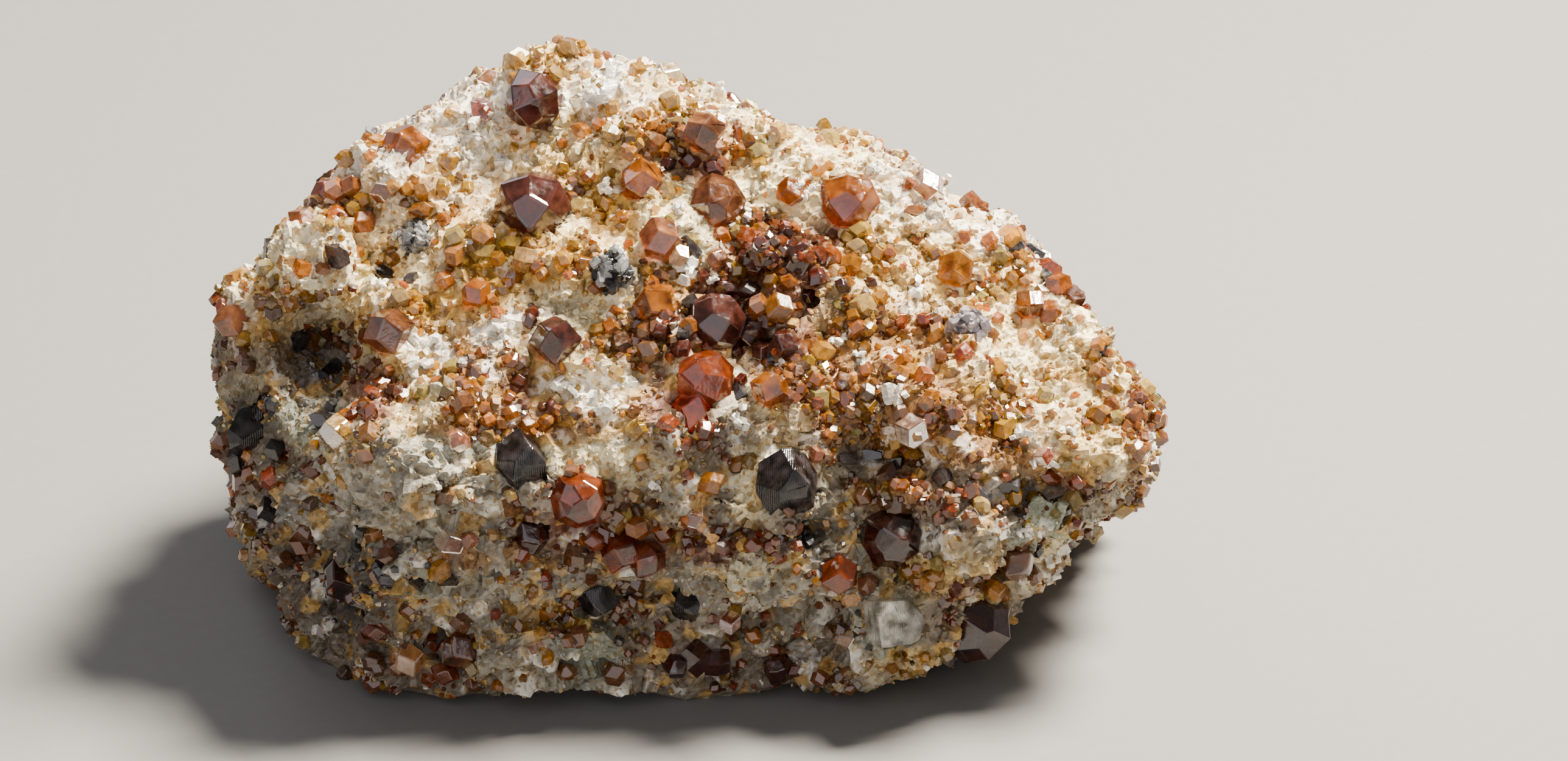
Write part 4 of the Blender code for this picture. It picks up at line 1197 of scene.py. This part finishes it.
def drawn_on(name, count, draw):
    """Points drawn by area on the surface of one node, and its middle."""
    bm = merged_copy(name)
    bmesh.ops.triangulate(bm, faces=bm.faces)
    corners = np.array([[vertex.co for vertex in face.verts] for face in bm.faces])
    bm.free()
    sides = corners[:, 1:] - corners[:, :1]
    areas = np.linalg.norm(np.cross(sides[:, 0], sides[:, 1]), axis=1)
    picked = draw.choice(len(areas), count, p=areas / areas.sum())
    shares = draw.dirichlet((1, 1, 1), count)
    return np.einsum("nk,nkc->nc", shares, corners[picked]), corners.mean(axis=(0, 1))


def granular_quartz(name, codes, look, draw):
    """A glittering lump of small quartz grains, in the place and form of one node."""
    places, middle = drawn_on(name, AGGREGATE_GRAINS, draw)
    radii = draw.uniform(0.22, 0.6, AGGREGATE_GRAINS) * MM
    places += (middle - places) * (radii / np.linalg.norm(middle - places, axis=1) * 0.6)[:, None]
    sizes = radii[:, None] * draw.uniform(0.6, 1.3, (AGGREGATE_GRAINS, 3))
    tints = np.array([linear(code) for code in draw.choice(codes, AGGREGATE_GRAINS)])
    templates = [cleaved_template(seed) for seed in range(40, 44)]
    kinds = draw.integers(0, len(templates), AGGREGATE_GRAINS)
    turns = any_turns(draw, AGGREGATE_GRAINS)
    mesh = join_copies(f"{name}_grains", templates, kinds, places, turns, sizes, tints)
    finish_piece(f"{name}_grains", mesh, look, [name])


def clear_of_crystals(points, share):
    """True for points outside this share of the radius of every garnet and quartz crystal."""
    clear = np.ones(len(points), bool)
    for centre, radius in crystal_balls(("garnet", "quartz")):
        clear &= np.linalg.norm(points - np.array(centre), axis=1) > share * radius
    return clear


def near_blocks(points):
    """True for points on the smooth feldspar blocks."""
    near = np.zeros(len(points), bool)
    for name in SMOOTH_BLOCKS:
        low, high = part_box(name)
        near |= np.all((points > np.array(low)) & (points < np.array(high)), axis=1)
    return near


def spread(draw, count, favour):
    """Points and slopes drawn on the rock by area, times a favour for each triangle."""
    middles = Rock.corners.mean(axis=1)
    chance = Rock.areas * favour(middles, Rock.normals) * clear_of_crystals(middles, CRYSTAL_CLEAR)
    chance *= middles[:, 2] > LOWEST_SEAT
    picked = draw.choice(len(chance), count, p=chance / chance.sum())
    a, b = draw.random(count), draw.random(count)
    over = a + b > 1
    a[over], b[over] = 1 - a[over], 1 - b[over]
    corners = Rock.corners[picked]
    start = corners[:, 0]
    points = start + a[:, None] * (corners[:, 1] - start) + b[:, None] * (corners[:, 2] - start)
    return points, Rock.normals[picked]


def crystal_tints(draw, names):
    """Tints of small crystals, each a little off its colour: lighter or darker, and a little off in hue."""
    colours = bpy.context.scene.garnet_colours
    tints = np.array([getattr(colours, name) for name in names])
    count = len(tints)
    calm = np.array([name in ("white", "smoky") for name in names])[:, None]
    light = np.where(calm, draw.uniform(0.85, 1.1, (count, 1)), draw.uniform(0.6, 1.5, (count, 1)))
    off = np.where(calm, 1, draw.uniform(0.85, 1.15, (count, 3)))
    return np.clip(tints * light * off, 0, 1)


def sugar_template(seed):
    """The finest feldspar grain: the hull of a few corners."""
    draw = random.Random(seed)
    bm = bmesh.new()
    for _ in range(SUGAR_CORNERS):
        bm.verts.new(Vector([draw.gauss(0, 1) for _ in range(3)]).normalized())
    bmesh.ops.convex_hull(bm, input=bm.verts)
    return as_template(bm)


def grain_favour(middles, normals):
    """Feldspar grains lie thickest on the show side's lit part, and thinly on its shaded slabs."""
    facing = facing_of(normals)
    _, up = show_places(middles)
    bare = np.where(near_blocks(middles), 0.2, 1)
    return bare * (0.5 + 0.5 * facing) * (1 - 0.5 * facing * in_band(up))


class GARNET_OT_crumbs(bpy.types.Operator):
    """Sets fine sugary grains and cleaved fragments of feldspar all over the rock"""

    bl_idname = "garnet.crumbs"
    bl_label = "Feldspar crumbs"

    def execute(self, context):
        sizes = context.scene.specimen_sizes
        look = feldspar("feldspar_sugar", 0.5, 0.24)
        kinds_of_grain = (
            ("sugar", sizes.sugar, sugar_template, SUGAR_RADII),
            ("fragments", sizes.fragments, cleaved_template, FRAGMENT_RADII),
        )
        for order, (grain, count, shape, widths) in enumerate(kinds_of_grain):
            templates = [shape(seed) for seed in range(8)]
            draw = np.random.default_rng(SEED + 10 * order)
            points, normals = spread(draw, count, grain_favour)
            radii = drawn_radii(draw, count, widths)
            scales = radii[:, None] * draw.uniform(0.5, 1.3, (count, 3))
            places = points + normals * (radii * draw.uniform(-0.3, 0.35, count))[:, None]
            tints = rock_tints(points, facing_of(normals), places)
            turns = any_turns(draw, count)
            kinds = draw.integers(0, len(templates), count)
            front = normals @ np.array(OUT) > 0.1
            for side, mine in (("show", front), ("far", ~front)):
                name = f"feldspar_{grain}_{side}_side"
                mesh = join_copies(
                    name, templates, kinds[mine], places[mine], turns[mine], scales[mine], tints[mine]
                )
                finish_piece(name, mesh, look)
        return {"FINISHED"}


class GARNET_OT_small_crystals(bpy.types.Operator):
    """Sets the small crystals that can be told apart on the show side"""

    bl_idname = "garnet.small_crystals"
    bl_label = "Small crystals"

    def execute(self, context):
        draw = np.random.default_rng(SEED + 1)
        worn = [garnet_template(seed, 3, 0.05) for seed in range(4)]
        plain = [garnet_template(seed, 3, 0) for seed in range(4)]
        blocks = [cleaved_template(seed) for seed in range(20, 24)]
        looks = {
            "white": (feldspar("feldspar_small_crystals", 0.35, 0.05), "feldspar_pale"),
            "smoky": (small_garnet("quartz_small_crystals"), "quartz_smoky"),
        }
        druse = small_garnet("garnet_small_crystals")
        for name, crystals in SMALL_CRYSTALS.items():
            seats = []
            sizes = []
            for across, up, wide, high in crystals:
                radius = min(wide, high) * MM / 2
                seats.append(rock_under(across, up) + OUT * radius * 0.35)
                sizes.append((wide * MM / 2, radius, high * MM / 2))
            count = len(crystals)
            seats = np.array(seats)
            sizes = np.array(sizes)

            # Long ones keep the way that they lie in the photo, and the others turn freely
            lean = np.array(Matrix((ACROSS, -OUT, UP)).transposed())
            swing = draw.normal(size=(count, 4)) * 0.25 + np.array([1, 0, 0, 0])
            slim = np.abs(sizes[:, 0] / sizes[:, 2] - 1) > 0.15
            free = draw.normal(size=(count, 4))
            turns = lean[None] @ turns_from(np.where(slim[:, None], swing, free))
            if name == "white":
                count *= CLUSTER
                seats = np.repeat(seats, CLUSTER, axis=0)
                sizes = np.repeat(sizes, CLUSTER, axis=0)
                seats = seats + draw.normal(size=(count, 3)) * sizes * 0.5
                turns = any_turns(draw, count)
                sizes = sizes * draw.uniform(0.25, 0.7, (count, 3))
            templates = blocks if name in ("white", "smoky") else worn
            kinds = draw.integers(0, len(templates), count)
            tints = crystal_tints(draw, [name] * count)
            sizes = SMALL_GROWTH * sizes
            mesh = join_copies(f"small_{name}_crystals", templates, kinds, seats, turns, sizes, tints)
            look, slot = looks.get(name, (druse, "garnet_bright"))
            finish_piece(f"small_{name}_crystals", mesh, look)
        self.crusts(draw, plain, druse)
        return {"FINISHED"}

    def crusts(self, draw, templates, look):
        """Small garnets that grew over the groups of larger ones."""
        for name, (hues, count) in CRUSTS.items():
            places, middle = drawn_on(name, count, draw)
            radii = drawn_radii(draw, count, CRUST_RADII)
            inwards = (middle - places) / np.linalg.norm(middle - places, axis=1)[:, None]
            places += inwards * 0.3 * radii[:, None]
            kinds = draw.integers(0, len(templates), count)
            turns = any_turns(draw, count)
            sizes = uneven(draw, radii)
            tints = crystal_tints(draw, draw.choice(hues, count))
            mesh = join_copies(f"{name}_crust", templates, kinds, places, turns, sizes, tints)
            finish_piece(f"{name}_crust", mesh, look)


class GARNET_OT_druse(bpy.types.Operator):
    """Covers the rock with tiny garnets, in patches on the show side and thinly elsewhere"""

    bl_idname = "garnet.druse"
    bl_label = "Druse"

    shares = {"orange": 0.3, "amber": 0.3, "honey": 0.04, "red": 0.1, "brown": 0.22, "smoky": 0.04}

    def execute(self, context):
        draw = np.random.default_rng(SEED + 2)
        count = context.scene.specimen_sizes.druse
        thickness = np.array([DRUSE_ON[name][0] for name in ROCK_HUES])

        def favour(middles, normals):
            facing = facing_of(normals)
            clusters = np.clip(0.3 + 2.6 * values_of(middles, 3.4 * MM, 60), 0.04, None)
            return (rock_mix(middles, facing) @ thickness) * clusters * (0.5 + 0.5 * facing)

        points, normals = spread(draw, count, favour)
        mix = rock_mix(points, facing_of(normals))
        hues = [ROCK_HUES[draw.choice(len(ROCK_HUES), p=row)] for row in mix]
        names = np.array([draw.choice(DRUSE_ON[name][1]) for name in hues])
        radii = drawn_radii(draw, count, DRUSE_RADII)
        places = points + normals * (radii * draw.uniform(-0.25, 0.35, count))[:, None]
        turns = any_turns(draw, count)
        tints = crystal_tints(draw, names)
        sizes = uneven(draw, radii)
        templates = [garnet_template(seed, 2, 0) for seed in range(6)]
        kinds = draw.integers(0, len(templates), count)
        look = small_garnet("garnet_druse")
        for name in self.shares:
            mine = names == name
            mesh = join_copies(
                f"druse_{name}", templates, kinds[mine], places[mine], turns[mine], sizes[mine], tints[mine]
            )
            finish_piece(f"druse_{name}", mesh, look)
        self.far_crystals(draw, look)
        self.carried_crystals(draw, look)
        return {"FINISHED"}

    def drawn_names(self, draw, count):
        """Hues drawn by their shares."""
        return draw.choice(list(self.shares), count, p=list(self.shares.values()))

    def carried_crystals(self, draw, look):
        """The small garnets that the matrix carries, with their true faces."""
        grown = carried_druse()
        if not grown:
            raise RuntimeError("the matrix carries no druse")
        places, radii, turns = (np.array(values) for values in zip(*grown))
        sizes = np.repeat(radii[:, None] * CARRIED_GROWTH, 3, axis=1)
        kinds = np.zeros(len(grown), int)
        tints = CARRIED_SHADE * crystal_tints(draw, self.drawn_names(draw, len(grown)))
        templates = [garnet_template(9, 1, 0.04)]
        mesh = join_copies("garnet_druse_large", templates, kinds, places, turns, sizes, tints)
        finish_piece("garnet_druse_large", mesh, look)

    def far_crystals(self, draw, look):
        """Crystals of a millimetre and more away from the show side, in loose groups."""

        def favour(middles, normals):
            groups = np.clip(values_of(middles, 5 * MM, 83) + 0.1, 0.02, None) ** 1.5
            return groups * (1.001 - facing_of(normals)) * (middles[:, 2] > 3 * MM)

        points, normals = spread(draw, FAR_CRYSTALS, favour)
        radii = drawn_radii(draw, FAR_CRYSTALS, FAR_RADII)
        places = points + normals * (radii * draw.uniform(0.0, 0.4, FAR_CRYSTALS))[:, None]
        names = self.drawn_names(draw, FAR_CRYSTALS)
        templates = [garnet_template(seed, 3, 0) for seed in range(4)]
        kinds = draw.integers(0, len(templates), FAR_CRYSTALS)
        turns = any_turns(draw, FAR_CRYSTALS)
        sizes = uneven(draw, radii)
        tints = crystal_tints(draw, names)
        mesh = join_copies("garnet_crystals_far_side", templates, kinds, places, turns, sizes, tints)
        finish_piece("garnet_crystals_far_side", mesh, look)


def aim(made, target):
    """Turns a light or a camera towards a point."""
    made.rotation_euler = (target - made.location).to_track_quat("-Z", "Y").to_euler()


def add_light(name, middle, way, distance, size, power, colour):
    """Adds a square lamp that shines on the middle."""
    data = bpy.data.lights.new(name, "AREA")
    data.size = size
    data.energy = power
    data.color = linear(colour)
    made = linked(name, data)
    made.location = middle + Vector(way).normalized() * distance
    aim(made, middle)


def pale_walls():
    """The studio all round: bright walls at the height of the specimen, and a dimmer ceiling."""
    world = bpy.data.worlds.new("soft_studio")
    world.use_nodes = True
    tree = world.node_tree
    shader = tree.nodes["Background"]
    shader.inputs["Color"].default_value = (*linear("#E6E3DE"), 1)
    way = node(tree, "ShaderNodeTexCoord", {}, {}).outputs["Generated"]
    height = node(tree, "ShaderNodeSeparateXYZ", {}, {"Vector": way}).outputs["Z"]
    bright = node(tree, "ShaderNodeMapRange", {}, {"Value": height, 1: 0.05, 2: 0.3, 3: 1.0, 4: 0.24})
    tree.links.new(bright.outputs["Result"], shader.inputs["Strength"])
    return world


class GARNET_OT_stage(bpy.types.Operator):
    """Sets the pale floor, the studio lights and the camera"""

    bl_idname = "garnet.stage"
    bl_label = "Stage"

    def execute(self, context):
        look = context.scene.stage_look
        bm = bmesh.new()
        bmesh.ops.create_circle(bm, cap_ends=True, segments=128, radius=look.floor_radius)
        mesh = as_mesh("floor", bm)
        mesh.materials.append(paper("backdrop_paper", look.floor))
        linked("floor", mesh)
        for name, light in LIGHTS.items():
            add_light(name, Vector((0, 0, HALF_HEIGHT)), *light)
        context.scene.world = pale_walls()
        data = bpy.data.cameras.new("camera")
        data.lens = data.sensor_width * look.distance / look.view_width
        data.clip_end = 10
        camera = linked("camera", data)
        centre = in_show_plane(*VIEW_MIDDLE, look.show_depth)
        camera.location = centre + OUT * look.distance
        aim(camera, centre)
        context.scene.camera = camera
        return {"FINISHED"}


class GARNET_PT_panel(bpy.types.Panel):
    """Lists the steps that finish the specimen"""

    bl_idname = "GARNET_PT_panel"
    bl_label = "Garnet in matrix"
    bl_space_type = "VIEW_3D"
    bl_region_type = "UI"
    bl_category = "Garnet"

    def draw(self, context):
        for group in ("specimen_sizes", "rock_colours", "garnet_colours", "stage_look"):
            holder = getattr(context.scene, group)
            for name in holder.__annotations__:
                self.layout.prop(holder, name)
        for operator in OPERATORS:
            self.layout.operator(operator.bl_idname)


GROUPS = {
    "rock_colours": RockColours,
    "garnet_colours": GarnetColours,
    "specimen_sizes": SpecimenSizes,
    "stage_look": StageLook,
}
OPERATORS = (
    GARNET_OT_stage,
    GARNET_OT_matrix_skin,
    GARNET_OT_garnets,
    GARNET_OT_quartz,
    GARNET_OT_feldspar,
    GARNET_OT_crumbs,
    GARNET_OT_small_crystals,
    GARNET_OT_druse,
)


def register():
    for name, group in GROUPS.items():
        bpy.utils.register_class(group)
        setattr(bpy.types.Scene, name, bpy.props.PointerProperty(type=group))
    for part in (*OPERATORS, GARNET_PT_panel):
        bpy.utils.register_class(part)


def unregister():
    for part in reversed((*OPERATORS, GARNET_PT_panel)):
        bpy.utils.unregister_class(part)
    for name, group in GROUPS.items():
        delattr(bpy.types.Scene, name)
        bpy.utils.unregister_class(group)


def main():
    register()
    bpy.ops.garnet.stage()
    bpy.ops.garnet.matrix_skin()
    bpy.ops.garnet.garnets()
    bpy.ops.garnet.quartz()
    bpy.ops.garnet.feldspar()
    bpy.ops.garnet.crumbs()
    bpy.ops.garnet.small_crystals()
    bpy.ops.garnet.druse()


if __name__ == "__main__":
    main()
